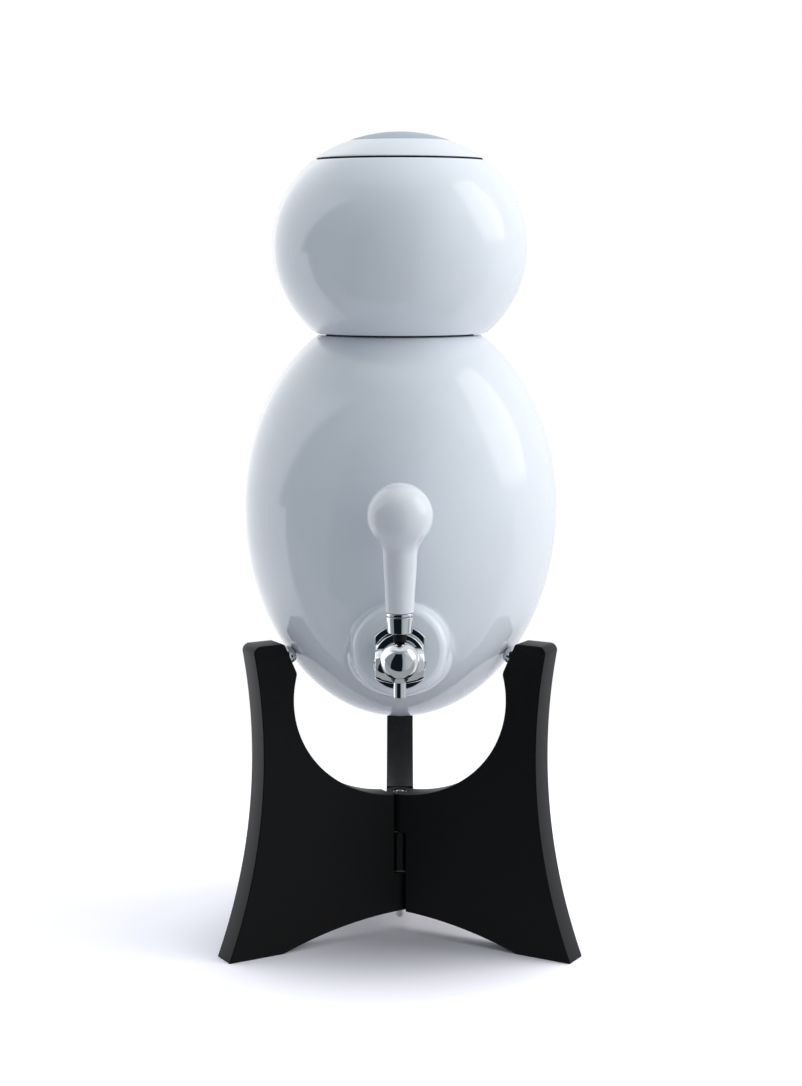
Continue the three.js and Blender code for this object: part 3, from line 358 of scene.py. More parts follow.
axis_y = sum(corner.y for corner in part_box("hinge_pin")) / 2
pivot = next(Vector(joint["pos_m"]) for joint in frame["joints"] if joint["name"] == "tap_lever_pull")
lower_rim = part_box("lower_vessel")[1].z
lower_oval = dict(radius=0.131, half_above=0.1685, half_below=0.177)
lower_wall = 0.007
lower_hollow = {name: size - lower_wall for name, size in lower_oval.items()}
lower_widest = lower_rim - 0.1446
lower_mouth = 0.057
seat_reach = 0.130
seat_radius, seat_rounding = 0.0313, 0.0085
pocket_reach, pocket_radius = 0.122, 0.026
tap_hole = 0.0083
boss_blend, pocket_blend = 0.009, 0.004
mouth_angle = math.radians(19)
boss_angle = math.radians(40)
face_end, rounding_end, fillet_end, pocket_fillet_end = 0.228, 0.30, 0.56, 0.30
vessel_columns, spread_rings = 240, 74
centre_rise = pivot.z - lower_widest


def around_tap(angles, turns):
    """Unit directions at angles from the tap's axis and turns about it, from straight up towards +X."""
    sine, cosine = np.sin(angles), np.cos(angles)
    return np.stack([sine * np.sin(turns), -cosine + 0 * turns, sine * np.cos(turns)], axis=-1)


def rings_between():
    """Complex stereographic places of rings that spread from round the tap to round the mouth. A Möbius map
    w = (q t - p) / (t - 1) carries circles about 0 to circles about both. The points p and q are mirror
    points of both."""
    tap_circle = math.tan(boss_angle / 2)
    near = math.tan((math.pi / 2 - mouth_angle) / 2)
    far = math.tan((math.pi / 2 + mouth_angle) / 2)
    middle, half = (near + far) / 2, (far - near) / 2
    total = tap_circle**2 + middle**2 - half**2
    q = (total + math.sqrt(total**2 - (2 * middle * tap_circle) ** 2)) / (2 * middle)
    p = tap_circle**2 / q
    first, last = abs((tap_circle - p) / (tap_circle - q)), abs((near - p) / (near - q))
    radii = np.geomspace(first, last, spread_rings)[:, None]
    t = radii * np.exp(1j * np.linspace(0, 2 * np.pi, vessel_columns, endpoint=False))
    return (q * t - p) / (t - 1)


spread = rings_between()
spread_angles = 2 * np.arctan(np.abs(spread))
spread_directions = around_tap(spread_angles, np.angle(spread))
turns = np.angle(spread[0])
edge_turns = np.linspace(math.radians(14), math.radians(84), 16)
seat_arc = np.column_stack([seat_radius + seat_rounding * (np.sin(edge_turns) - math.sin(edge_turns[0])),
                            seat_reach - seat_rounding * (math.cos(edge_turns[0]) - np.cos(edge_turns))])
tap_line = profile((0, seat_reach), seat_arc, (0.0402, 0.104), (0.044, 0.05))
tap_line_angles = np.arctan2(tap_line[:, 0], tap_line[:, 1])


def vessel_outside(directions, angles):
    """Points of the outside: the egg or the tap's boss, whichever is further out, with a fillet between."""
    boss = np.interp(angles, tap_line_angles, np.hypot(*tap_line.T)) + 0 * directions[..., 0]
    egg = egg_distance(directions, centre_rise, **lower_oval)
    return blended_max(boss, egg, boss_blend)[..., None] * directions


def vessel_inside(directions, angles):
    """Points of the inside: the hollow egg, and the round pocket behind the tap's seat."""
    pocket = np.minimum(pocket_reach / np.cos(angles), pocket_radius / np.maximum(np.sin(angles), 1e-6))
    egg = egg_distance(directions, centre_rise, **lower_hollow)
    return blended_max(pocket + 0 * egg, egg, pocket_blend)[..., None] * directions


outer_angles = np.concatenate([
    np.linspace(math.atan(tap_hole / seat_reach), face_end, 10)[:-1],
    np.linspace(face_end, rounding_end, 18)[:-1],
    np.linspace(rounding_end, fillet_end, 42)[:-1],
    np.linspace(fillet_end, boss_angle, 10),
])[:, None]
inner_angles = np.concatenate([
    np.linspace(boss_angle, pocket_fillet_end, 16)[:-1],
    np.linspace(pocket_fillet_end, math.atan(pocket_radius / pocket_reach), 14)[:-1],
    np.linspace(math.atan(pocket_radius / pocket_reach), math.atan(tap_hole / pocket_reach), 8),
])[:, None]
outside_rings = vessel_outside(around_tap(outer_angles, turns), outer_angles)
outside_rings = np.vstack([outside_rings, vessel_outside(spread_directions[1:], spread_angles[1:])])
inside_rings = vessel_inside(spread_directions[::-2], spread_angles[::-2])
inside_rings = np.vstack([inside_rings, vessel_inside(around_tap(inner_angles, turns), inner_angles)])
mouth_turns = np.arctan2(outside_rings[-1, :, 1], outside_rings[-1, :, 0])
neck_outside = pivot.z + outside_rings[-1, 0, 2]
neck_inside = pivot.z + inside_rings[0, 0, 2]
hollow_top = (lower_widest
              + lower_hollow["half_above"] * math.sqrt(1 - (lower_mouth / lower_hollow["radius"]) ** 2))
rim_line = profile(
    oval(**lower_oval, widest=lower_widest, heights=np.linspace(neck_outside, lower_rim, 12)[1:-1]),
    (*oval(**lower_oval, widest=lower_widest, heights=np.array([lower_rim]))[0], 0.0016),
    (lower_mouth, lower_rim, 0.0008),
    oval(**lower_hollow, widest=lower_widest, heights=np.linspace(hollow_top, neck_inside, 14)[:-1]),
)
rim_rings = np.stack([rim_line[:, :1] * np.cos(mouth_turns), rim_line[:, :1] * np.sin(mouth_turns),
                      rim_line[:, 1:] - pivot.z + 0 * mouth_turns], axis=-1)
lower_grid = np.vstack([outside_rings, rim_rings, inside_rings]) + np.array([0, axis_y, pivot.z])
lower_mesh = grid_mesh("lower_vessel_glazed", lower_grid, closed=True)

# Glazed porcelain, fired: a bluish white body under clear glass, so it shades softly and mirrors the
# studio in a faint sharp layer. The glaze pools slightly, in waves about 30 mm long.
porcelain, tree = start_material("glazed_porcelain")
place = add(tree, "TexCoord").outputs["Object"]
pooling = add(tree, "TexNoise", {"Vector": place, "Scale": 33.0, "Detail": 2.0, "Roughness": 0.4})
tone = add(tree, "Mix", {0: pooling, 6: linear("#DDE3EA"), 7: linear("#E2E8EF")}, data_type="RGBA")
flow = add(tree, "TexNoise", {"Vector": place, "Scale": 60.0, "Detail": 1.0})
waves = add(tree, "Bump", {"Height": flow, "Strength": 0.03, "Distance": 0.001})
gloss = add(tree, "MapRange", {"Value": pooling, "To Min": 0.09, "To Max": 0.13})
glazed = add(tree, "BsdfPrincipled", {"Base Color": tone.outputs[2], "Roughness": gloss, "IOR": 1.5,
                                      "Normal": waves, "Coat Weight": 0.3, "Coat Roughness": 0.03})
add(tree, "OutputMaterial", {"Surface": glazed})
add_piece("lower_vessel_glazed", lower_mesh, porcelain, "lower_tank", "porcelain", "lower_vessel")


# Upper vessel: cast and glazed like the lower one. A ring under its foot drops into the lower vessel's
# mouth, and its floor has a hole for the filter's stem.
def turned(line, columns=96, place=Matrix.Identity(4), limit=None):
    """Carries [radius, height] points round the local Z axis as x = r cos a, y = r sin a, z = height, then
    moves them by place. limit may hold the radius down at an angle, as on flats."""
    angle = np.linspace(0, 2 * np.pi, columns, endpoint=False)
    radius, height = line[:, :1] + 0 * angle, line[:, 1:] + 0 * angle
    if limit:
        radius = limit(radius, height, angle)
    grid = np.stack([radius * np.cos(angle), radius * np.sin(angle), height], axis=-1)
    matrix = np.array(place)
    return grid @ matrix[:3, :3].T + matrix[:3, 3]


upright = Matrix.Translation((0, axis_y, 0))
seam = 0.0015
upper_foot = lower_rim + seam
upper_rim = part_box("upper_vessel")[1].z
upper_oval = dict(radius=0.1052, half_above=0.0953, half_below=0.0976)
upper_wall = 0.0065
upper_hollow = {name: size - upper_wall for name, size in upper_oval.items()}
upper_widest = upper_foot + 0.0709
upper_floor = upper_foot + 0.007
upper_mouth = 0.0635
stem_hole = 0.0071
spigot_outer, spigot_inner, spigot_foot = 0.0558, 0.0508, upper_foot - 0.010
hollow_top = (upper_widest
              + upper_hollow["half_above"] * math.sqrt(1 - (upper_mouth / upper_hollow["radius"]) ** 2))
upper_line = profile(
    (stem_hole, (upper_foot + upper_floor) / 2),
    (stem_hole, upper_foot, 0.0006),
    (spigot_inner, upper_foot, 0.0016),
    (spigot_inner, spigot_foot, 0.0014),
    (spigot_outer, spigot_foot, 0.0014),
    (spigot_outer, upper_foot, 0.0012),
    (*oval(**upper_oval, widest=upper_widest, heights=np.array([upper_foot]))[0], 0.0022),
    oval(**upper_oval, widest=upper_widest, heights=np.linspace(upper_foot, upper_rim, 90)[1:-1]),
    (*oval(**upper_oval, widest=upper_widest, heights=np.array([upper_rim]))[0], 0.0016),
    (upper_mouth, upper_rim, 0.0008),
    oval(**upper_hollow, widest=upper_widest, heights=np.linspace(hollow_top, upper_floor + 0.004, 50)),
    (*oval(**upper_hollow, widest=upper_widest, heights=np.array([upper_floor]))[0], 0.0035),
    (stem_hole, upper_floor, 0.0006),
)
upper_mesh = grid_mesh("upper_vessel_glazed", turned(upper_line, 192, upright), closed=True)
add_piece("upper_vessel_glazed", upper_mesh, porcelain, "upper_tank", "porcelain", "upper_vessel")

# Seals: flat moulded rings of near-black silicone rubber in the two seams, with a slight bloom that keeps
# them dull. Each lies loose on its rim.
seal_rubber, tree = start_material("moulded_black_silicone")
place = add(tree, "TexCoord").outputs["Object"]
bloom = add(tree, "TexNoise", {"Vector": place, "Scale": 220.0, "Detail": 4.0})
tone = add(tree, "Mix", {0: bloom, 6: linear("#121417"), 7: linear("#181A1E")}, data_type="RGBA")
skin = add(tree, "Bump", {"Height": bloom, "Strength": 0.15, "Distance": 0.0003})
rubber = add(tree, "BsdfPrincipled", {"Base Color": tone.outputs[2], "Roughness": 0.6, "Normal": skin,
                                      "Specular IOR Level": 0.15})
add(tree, "OutputMaterial", {"Surface": rubber})


def ring_line(inner, outer, low, high, rounding):
    """The closed line of a flat ring with rounded edges, starting half way up its bore."""
    return profile((inner, (low + high) / 2), (inner, low, rounding), (outer, low, rounding),
                   (outer, high, rounding), (inner, high, rounding), steps=5)


seal_setback, seal_reach = 0.0004, 0.0045
seams = (("neck_gasket", "lower_tank", lower_mouth), ("lid_seal", "upper_tank", upper_mouth))
for name, body, mouth in seams:
    low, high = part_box(name)[0].z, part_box(name)[1].z
    line = ring_line(mouth + seal_setback, mouth + seal_reach, low, high, 0.0003)
    add_piece(name + "_ring", grid_mesh(name, turned(line, 192, upright), True), seal_rubber, body,
              "dark_silicone", name)


# Lid: a low dome of the same glazed porcelain with a locating ring underneath, and a soft grey-blue disc
# let into its middle, flush with the glaze.
def dome(setback, start, end, count):
    """[radius, height] points of the lid's dome, or of one set inside it, between two radii."""
    radii = np.linspace(start, end, count)
    return np.column_stack([radii, lid_top - dome_radius + np.sqrt((dome_radius - setback) ** 2 - radii**2)])


lid_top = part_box("lid_inlay")[1].z
dome_radius = 0.124
lid_radius = 0.0695
lid_foot = upper_rim + seam
lid_spigot_foot = lid_foot - 0.0085
lid_wall = 0.006
lid_spigot_outer, lid_spigot_inner = 0.0623, 0.0573
inlay_radius, inlay_depth = 0.0414, 0.0025
play = 0.0003  # between pieces that fit in or round each other
lid_line = profile(
    dome(lid_wall, 0, lid_spigot_inner, 24),
    (lid_spigot_inner, lid_spigot_foot, 0.0014),
    (lid_spigot_outer, lid_spigot_foot, 0.0014),
    (lid_spigot_outer, lid_foot, 0.0008),
    (lid_radius, lid_foot, 0.0005),
    dome(0, lid_radius, inlay_radius + 0.0012, 30)[1:],
    (*dome(0, inlay_radius + play, 0, 2)[0], 0.0004),
    dome(inlay_depth + play, inlay_radius + play, 0, 12),
)
add_piece("lid_glazed", grid_mesh("lid_glazed", turned(lid_line, 192, upright), False), porcelain,
          "lid_cover", "porcelain", "lid")
inlay_line = profile(
    dome(inlay_depth, 0, inlay_radius, 12)[:-1],
    (*dome(inlay_depth, inlay_radius, 0, 2)[0], 0.0004),
    (*dome(0, inlay_radius, 0, 2)[0], 0.0004),
    dome(0, inlay_radius - 0.0012, 0, 24),
)

# Moulded silicone, pigmented grey-blue: matte, with a faint fine texture from the spark-eroded mould.
disc_silicone, tree = start_material("moulded_grey_silicone")
place = add(tree, "TexCoord").outputs["Object"]
spark = add(tree, "TexNoise", {"Vector": place, "Scale": 900.0, "Detail": 2.0})
cloud = add(tree, "TexNoise", {"Vector": place, "Scale": 40.0, "Detail": 2.0})
tone = add(tree, "Mix", {0: cloud, 6: linear("#A3AEBB"), 7: linear("#A9B4C0")}, data_type="RGBA")
skin = add(tree, "Bump", {"Height": spark, "Strength": 0.2, "Distance": 0.0002})
silicone = add(tree, "BsdfPrincipled", {"Base Color": tone.outputs[2], "Roughness": 0.5, "Normal": skin,
                                        "Specular IOR Level": 0.35})
add(tree, "OutputMaterial", {"Surface": silicone})
add_piece("lid_disc", grid_mesh("lid_disc", turned(inlay_line, 144, upright), False), disc_silicone,
          "lid_cover", "grey_silicone", "lid_inlay")

# Filter: a moulded white cup with a hollow stem, a pressed carbon block, and a cap with ten inlet holes.
# The stem passes the upper vessel's floor, over a gasket, and a wing nut clamps it from below.
white_plastic, tree = start_material("moulded_polypropylene")
place = add(tree, "TexCoord").outputs["Object"]
flow = add(tree, "TexNoise", {"Vector": place, "Scale": 70.0, "Detail": 3.0})
grain = add(tree, "TexNoise", {"Vector": place, "Scale": 1400.0, "Detail": 1.0})
tone = add(tree, "Mix", {0: flow, 6: linear("#DADDE0"), 7: linear("#E6E8EA")}, data_type="RGBA")
skin = add(tree, "Bump", {"Height": grain, "Strength": 0.15, "Distance": 0.0001})
plastic = add(tree, "BsdfPrincipled", {"Base Color": tone.outputs[2], "Roughness": 0.38, "Normal": skin})
add(tree, "OutputMaterial", {"Surface": plastic})
carbon, tree = start_material("pressed_carbon")
place = add(tree, "TexCoord").outputs["Object"]
granules = add(tree, "TexVoronoi", {"Vector": place, "Scale": 900.0})
tone = add(tree, "Mix", {0: granules, 6: linear("#1B1B1B"), 7: linear("#343434")}, data_type="RGBA")
skin = add(tree, "Bump", {"Height": granules, "Strength": 0.6, "Distance": 0.0004})
block = add(tree, "BsdfPrincipled", {"Base Color": tone.outputs[2], "Roughness": 0.9, "Normal": skin})
add(tree, "OutputMaterial", {"Surface": block})

filter_low, filter_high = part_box("filter_housing")[0].z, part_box("filter_housing")[1].z
filter_radius, filter_wall = 0.046, 0.0025
stem_radius, stem_bore = 0.0065, 0.004
cup_foot = filter_high - 0.0632
housing_line = profile(
    (stem_bore, filter_low + 0.010),
    (stem_bore, filter_low, 0.0006),
    (stem_radius, filter_low, 0.0006),
    (stem_radius, cup_foot, 0.0015),
    (filter_radius, cup_foot, 0.0025),
    (filter_radius, filter_high, 0.0006),
    (filter_radius - filter_wall, filter_high, 0.0006),
    (filter_radius - filter_wall, cup_foot + filter_wall, 0.0012),
    (stem_bore, cup_foot + filter_wall, 0.0006),
)
add_piece("filter_cup", grid_mesh("filter_cup", turned(housing_line, 120, upright), True), white_plastic,
          "upper_tank", "white_plastic", "filter_housing")
media_low, media_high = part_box("filter_media")[0].z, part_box("filter_media")[1].z
media_radius = filter_radius - filter_wall - play
media_line = profile((0, media_low), (media_radius, media_low, 0.001), (media_radius, media_high, 0.0012),
                     (0, media_high))
add_piece("filter_block", grid_mesh("filter_block", turned(media_line, 96, upright), False), carbon,
          "upper_tank", "carbon", "filter_media")


def baked(piece, *tools, operation="DIFFERENCE"):
    """Cuts (or joins) solid tools out of (or to) a solid and returns the finished mesh. The tools go."""
    for tool in tools:
        step = piece.modifiers.new("cut", "BOOLEAN")
        step.operation, step.solver, step.object = operation, "EXACT", tool
    bpy.context.view_layer.update()
    mesh = bpy.data.meshes.new_from_object(piece.evaluated_get(bpy.context.evaluated_depsgraph_get()))
    for tool in (piece, *tools):
        bpy.data.objects.remove(tool)
    return mesh


def loose(mesh):
    """An object in the scene that holds a mesh while it is worked on."""
    holder = bpy.data.objects.new("work", mesh)
    bpy.context.scene.collection.objects.link(holder)
    return holder


def rod(radius, low, high, columns=48, place=Matrix.Identity(4)):
    """A plain round tool for cutting, on the local Z axis."""
    line = np.array([[0, low], [radius, low], [radius, high], [0, high]])
    return loose(grid_mesh("tool", turned(line, columns, place), False))


cap_low, cap_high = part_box("filter_cap")[0].z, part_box("filter_cap")[1].z
cap_skirt = filter_radius + play
cap_roof, cap_face = cap_high - 0.003, cap_high - 0.0005
inlet_radius, inlet_pitch, inlet_overrun = 0.0026, 0.030, 0.02
cap_line = profile(
    (0, cap_roof),
    (cap_skirt, cap_roof, 0.0008),
    (cap_skirt, cap_low, 0.0006),
    (cap_skirt + filter_wall, cap_low, 0.0008),
    (cap_skirt + filter_wall, cap_high, 0.0014),
    (0.0415, cap_high, 0.0008),
    (0.0405, cap_face, 0.0008),
    (0, cap_face),
)
inlets = []
for i in range(10):
    turn = upright @ Matrix.Rotation(math.radians(36 * i), 4, "Z")
    inlet_place = turn @ Matrix.Translation((inlet_pitch, 0, 0))
    inlets.append(rod(inlet_radius, cap_high - inlet_overrun, cap_high + inlet_overrun, 32, inlet_place))
cap_mesh = baked(loose(grid_mesh("filter_cap", turned(cap_line, 120, upright), False)), *inlets)
add_piece("filter_lid", cap_mesh, white_plastic, "upper_tank", "white_plastic", "filter_cap")
low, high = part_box("filter_gasket")[0].z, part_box("filter_gasket")[1].z
gasket_line = ring_line(stem_radius + play, 0.017, low, high, 0.0005)
add_piece("filter_washer", grid_mesh("filter_washer", turned(gasket_line, 96, upright), True), seal_rubber,
          "upper_tank", "dark_silicone", "filter_gasket")
frame["nodes"]["filter_wing_nut"].data.materials.clear()
frame["nodes"]["filter_wing_nut"].data.materials.append(white_plastic)

# Tap body: brass, polished and chrome plated, in one piece: shank, round shoulder, flange with two flats,
# coned step, crosswise hub and ball. The lever swings in a slot in the ball; the spout is pressed in below.
chrome, tree = start_material("polished_chrome_plate")
place = add(tree, "TexCoord").outputs["Object"]
polish = add(tree, "TexNoise", {"Vector": place, "Scale": 260.0, "Detail": 3.0})
sheen = add(tree, "MapRange", {"Value": polish, "To Min": 0.03, "To Max": 0.055})
ripple = add(tree, "Bump", {"Height": polish, "Strength": 0.012, "Distance": 0.0005})
plating = add(tree, "BsdfPrincipled", {"Base Color": linear("#DEE1E4"), "Metallic": 1.0, "Roughness": sheen,
                                       "Normal": ripple})
add(tree, "OutputMaterial", {"Surface": plating})

pivot_reach = axis_y - pivot.y
forward = Matrix.Translation((0, axis_y, pivot.z)) @ Matrix.Rotation(math.pi / 2, 4, "X")
collar_back = seat_reach + 0.0026
flange_back = collar_back + 0.014
flange_front = flange_back + 0.0113
step_front = flange_front + 0.0044
shank_end = seat_reach - 0.024
flange_radius, flange_flat, flat_easing, flat_draft = 0.0253, 0.0194, 0.0007, 0.02
collar_radius, step_root, step_radius = 0.0186, 0.0208, 0.0193
ball_radius = 0.0155
chamber_radius, chamber_front, chamber_back = 0.0105, pivot_reach + 0.008, pivot_reach - 0.012
shank_radius, shank_bore = 0.008, 0.005
ball_angles = np.linspace(math.pi - math.acos((pivot_reach - step_front) / ball_radius), 0, 64)
ball_arc = np.column_stack([ball_radius * np.sin(ball_angles),
                            pivot_reach + ball_radius * np.cos(ball_angles)])
tap_profile = profile(
    (0, chamber_front),
    (chamber_radius, chamber_front, 0.001),
    (chamber_radius, chamber_back, 0.001),
    (shank_bore, chamber_back, 0.0006),
    (shank_bore, shank_end, 0.0006),
    (shank_radius, shank_end, 0.0008),
    (shank_radius, collar_back, 0.0008),
    (collar_radius, collar_back, 0.0008),
    (collar_radius, flange_back, 0.0004),
    (flange_radius, flange_back, 0.0010),
    (flange_radius, flange_front, 0.0010),
    (step_root, flange_front, 0.0004),
    (step_radius, step_front, 0.0007),
    (*ball_arc[0], 0.0002),
    ball_arc[1:],
)


def flats(radius, height, angle):
    """Holds the flange and step to two flats with eased edges. Rings of one height stay slightly apart."""
    from_ends = np.minimum(np.abs(height - flange_back), np.abs(height - flange_front))
    eased = np.where(height > flange_front, 1, np.clip(1 - from_ends / flat_easing, 0, 1))
    plane = flange_flat - flat_easing * eased - flat_draft * (flange_radius - radius)
    milled = (height > flange_back - 1e-6) & (height < step_front + 1e-6) & (radius > ball_radius)
    return np.where(milled, np.minimum(radius, plane / np.maximum(np.abs(np.cos(angle)), 1e-6)), radius)


tap_grid = turned(tap_profile, 240, forward, flats)
at_pivot = Matrix.Translation(pivot)
root_radius, root_drop, root_end, root_end_drop = 0.0082, 0.013, 0.0056, 0.017
collar_line = profile((0, -root_end_drop), (root_end, -root_end_drop, 0.0004), (root_radius, -root_drop),
                      (0, -root_drop))
collar = loose(grid_mesh("tool", turned(collar_line, 96, at_pivot), False))
hub_setback, hub_drop = 0.008, 0.0044
hub_crown, crown_half = 0.0156, 0.005
hub_shoulder, shoulder_half = 0.0134, 0.015
hub_end, hub_half = 0.0113, 0.019
cap_radius, cap_rise = 0.0057, 0.0014
cap_curve = (cap_radius**2 + cap_rise**2) / (2 * cap_rise)
cap_radii = np.linspace(cap_radius, 0, 12)
cap_dome = np.column_stack([cap_radii,
                            hub_half + cap_rise - cap_curve + np.sqrt(cap_curve**2 - cap_radii**2)])
hub_line = profile(
    cap_dome[::-1] * np.array([1, -1]),
    (hub_end, -hub_half, 0.0008),
    (hub_shoulder, -shoulder_half, 0.0022),
    (hub_crown, -crown_half, 0.0030),
    (hub_crown, crown_half, 0.0030),
    (hub_shoulder, shoulder_half, 0.0022),
    (hub_end, hub_half, 0.0008),
    cap_dome,
)
hub_place = at_pivot @ Matrix.Translation((0, hub_setback, -hub_drop)) @ Matrix.Rotation(math.pi / 2, 4, "Y")
hub = loose(grid_mesh("tool", turned(hub_line, 128, hub_place), False))
body_mesh = baked(loose(grid_mesh("tap", tap_grid, False)), collar, hub, operation="UNION")
slot_half, slot_width, slot_reach, slot_pull = 0.0028, 0.007, 0.021, math.radians(15)
slot_plan = [(slot_half, 0), (slot_half, slot_reach),
             (-slot_reach * math.sin(slot_pull) - slot_half * math.cos(slot_pull),
              slot_reach * math.cos(slot_pull) - slot_half * math.sin(slot_pull)),
             (-slot_half * math.cos(slot_pull), -slot_half * math.sin(slot_pull))]


def inset(plan, distance):
    """A closed plan moved inwards: each point moves along the mean m of the unit normals of its two edges,
    by 2 distance m / |m|², so that both edges move by the distance."""
    normals = []
    for edge in (plan - np.roll(plan, 1, 0), np.roll(plan, -1, 0) - plan):
        normals.append(np.column_stack([-edge[:, 1], edge[:, 0]]) / np.hypot(*edge.T)[:, None])
    mean = normals[0] + normals[1]
    x, y = plan.T
    inwards = np.sign((x * np.roll(y, -1) - y * np.roll(x, -1)).sum())
    return plan + inwards * distance * 2 * mean / (mean**2).sum(1)[:, None]


def prism(plan, start, end, place=Matrix.Identity(4), easing=0.0):
    """A solid whose section is a plan of (local y, local z) points and whose ends are at two local x. Easing
    rounds the edges of both ends by a quarter circle."""
    plan = np.array(plan, float)
    plan = plan[np.hypot(*(plan - np.roll(plan, 1, 0)).T) > 1e-6]
    count = len(plan)
    rings = []
    for turn in np.linspace(0, math.pi / 2, 5 if easing else 1):
        rings.append((inset(plan, easing * (1 - math.sin(turn))), easing * (1 - math.cos(turn))))
    ends = [np.column_stack([np.full(count, start + set_in), ring]) for ring, set_in in rings]
    ends += [np.column_stack([np.full(count, end - set_in), ring]) for ring, set_in in rings[::-1]]
    matrix = np.array(place)
    points = np.vstack(ends) @ matrix[:3, :3].T + matrix[:3, 3]
    around = np.arange(count)
    after = (around + 1) % count
    low = np.arange(len(ends) - 1)[:, None] * count
    faces = np.stack([low + around, low + after, low + after + count, low + around + count], -1)
    faces = faces.reshape(-1, 4).tolist()
    faces += [around[::-1].tolist(), (around + len(points) - count).tolist()]
    mesh = bpy.data.meshes.new("prism")
    mesh.from_pydata(points.tolist(), [], faces)
    work = bmesh.new()
    work.from_mesh(mesh)
    bmesh.ops.recalc_face_normals(work, faces=work.faces)
    work.to_mesh(mesh)
    work.free()
    return mesh


spout_radius, spout_bore = 0.00485, 0.0034
slot = loose(prism(slot_plan, -slot_width / 2, slot_width / 2, at_pivot))
spout_hole = rod(spout_radius + play, -0.03, -0.005, 48, at_pivot)
pin_hole = rod(0.0018, -ball_radius, 0.03, 32, at_pivot @ Matrix.Rotation(math.pi / 2, 4, "Y"))
body_mesh = baked(loose(body_mesh), slot, spout_hole, pin_hole)
add_piece("tap_body_plated", body_mesh, chrome, "lower_tank", "chrome", "tap_body")

spout_low, spout_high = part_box("spout_tube")[0].z - pivot.z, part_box("spout_tube")[1].z - pivot.z
spout_line = profile(
    (spout_bore, (spout_low + spout_high) / 2),
    (spout_bore, spout_low, 0.0004),
    (spout_radius, spout_low, 0.0004),
    (spout_radius, spout_high, 0.0004),
    (spout_bore, spout_high, 0.0004),
)
add_piece("spout_plated", grid_mesh("spout_plated", turned(spout_line, 64, at_pivot), True), chrome,
          "lower_tank", "chrome", "spout_tube")

# Tap's seals and nut: rubber washers in front of and behind the vessel's wall, and a six-sided plated nut
# that clamps them on the shank.
seal_back, seal_front = seat_reach + play, seat_reach + 0.0023
line = ring_line(shank_radius + play, 0.019, seal_back, seal_front, 0.0006)
add_piece("tap_seat_washer", grid_mesh("tap_seat_washer", turned(line, 96, forward), True), seal_rubber,
          "lower_tank", "dark_silicone", "tap_outer_gasket")
line = ring_line(shank_radius + play, 0.0125, pocket_reach - 0.0023, pocket_reach - play, 0.0006)
add_piece("tap_back_washer", grid_mesh("tap_back_washer", turned(line, 96, forward), True), seal_rubber,
          "lower_tank", "dark_silicone", "tap_inner_gasket")


def six_sided(apothem):
    """A limit that holds rings outside the bore to a hexagon, as 1 / cos of the angle from each flat."""
    def hold(radius, height, angle):
        from_flat = (angle + math.pi / 6) % (math.pi / 3) - math.pi / 6
        return np.where(radius > apothem * 0.9, np.minimum(radius, apothem / np.cos(from_flat)), radius)
    return hold


nut_front = pocket_reach - 0.0026
nut_back = nut_front - 0.008
nut_apothem, nut_face, nut_corner, nut_chamfer = 0.012, 0.0121, 0.0140, 0.0011
line = profile(
    (shank_radius + play, (nut_back + nut_front) / 2),
    (shank_radius + play, nut_back, 0.0006),
    (nut_face, nut_back, 0.0004),
    (nut_corner, nut_back + nut_chamfer),
    (nut_corner, nut_front - nut_chamfer),
    (nut_face, nut_front, 0.0004),
    (shank_radius + play, nut_front, 0.0006),
)
nut_grid = turned(line, 96, forward, six_sided(nut_apothem))
add_piece("tap_nut_plated", grid_mesh("tap_nut_plated", nut_grid, True), chrome, "lower_tank", "chrome",
          "tap_lock_nut")

# Turned stainless steel for the pins and screws: bright, with fine lathe marks that dull it a little.
steel, tree = start_material("turned_stainless_steel")
place = add(tree, "TexCoord").outputs["Object"]
marks = add(tree, "TexNoise", {"Vector": place, "Scale": 1500.0, "Detail": 2.0})
dulling = add(tree, "MapRange", {"Value": marks, "To Min": 0.18, "To Max": 0.3})
skin = add(tree, "Bump", {"Height": marks, "Strength": 0.1, "Distance": 0.00005})
stainless = add(tree, "BsdfPrincipled", {"Base Color": linear("#C3C8CC"), "Metallic": 1.0,
                                         "Roughness": dulling, "Normal": skin})
add(tree, "OutputMaterial", {"Surface": stainless})
pin_radius, pin_half = 0.0015, 0.0134
line = profile((0, -pin_half), (pin_radius, -pin_half, 0.0004), (pin_radius, pin_half, 0.0004), (0, pin_half))
pin_grid = turned(line, 48, at_pivot @ Matrix.Rotation(math.pi / 2, 4, "Y"))
add_piece("lever_pin_turned", grid_mesh("lever_pin_turned", pin_grid, False), steel, "lower_tank", "steel",
          "lever_pivot_pin")

# Valve: a stainless rod through the shank with a push plate in front, and a washer behind that closes the
# shank's inner end.
rod_back, rod_front = axis_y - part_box("plunger_rod")[1].y, axis_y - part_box("plunger_rod")[0].y
rod_radius, rod_head_radius, rod_head_front = 0.002, 0.0065, rod_back + 0.002
valve_radius, valve_bore = 0.007, 0.0023
line = profile((0, rod_back), (rod_head_radius, rod_back, 0.0004), (rod_head_radius, rod_head_front, 0.0004),
               (rod_radius, rod_head_front, 0.0003), (rod_radius, rod_front, 0.0004), (0, rod_front))
add_piece("valve_rod", grid_mesh("valve_rod", turned(line, 64, forward), False), steel, "valve_plunger",
          "steel", "plunger_rod")
plate_back, plate_front = axis_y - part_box("plunger_plate")[1].y, axis_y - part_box("plunger_plate")[0].y
line = profile((0, plate_back), (valve_radius, plate_back, 0.0003), (valve_radius, plate_front, 0.0003),
               (0, plate_front))
add_piece("valve_plate", grid_mesh("valve_plate", turned(line, 64, forward), False), steel, "valve_plunger",
          "steel", "plunger_plate")
washer_back, washer_front = axis_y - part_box("valve_washer")[1].y, axis_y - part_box("valve_washer")[0].y
line = ring_line(valve_bore, valve_radius, washer_back, washer_front, 0.0004)
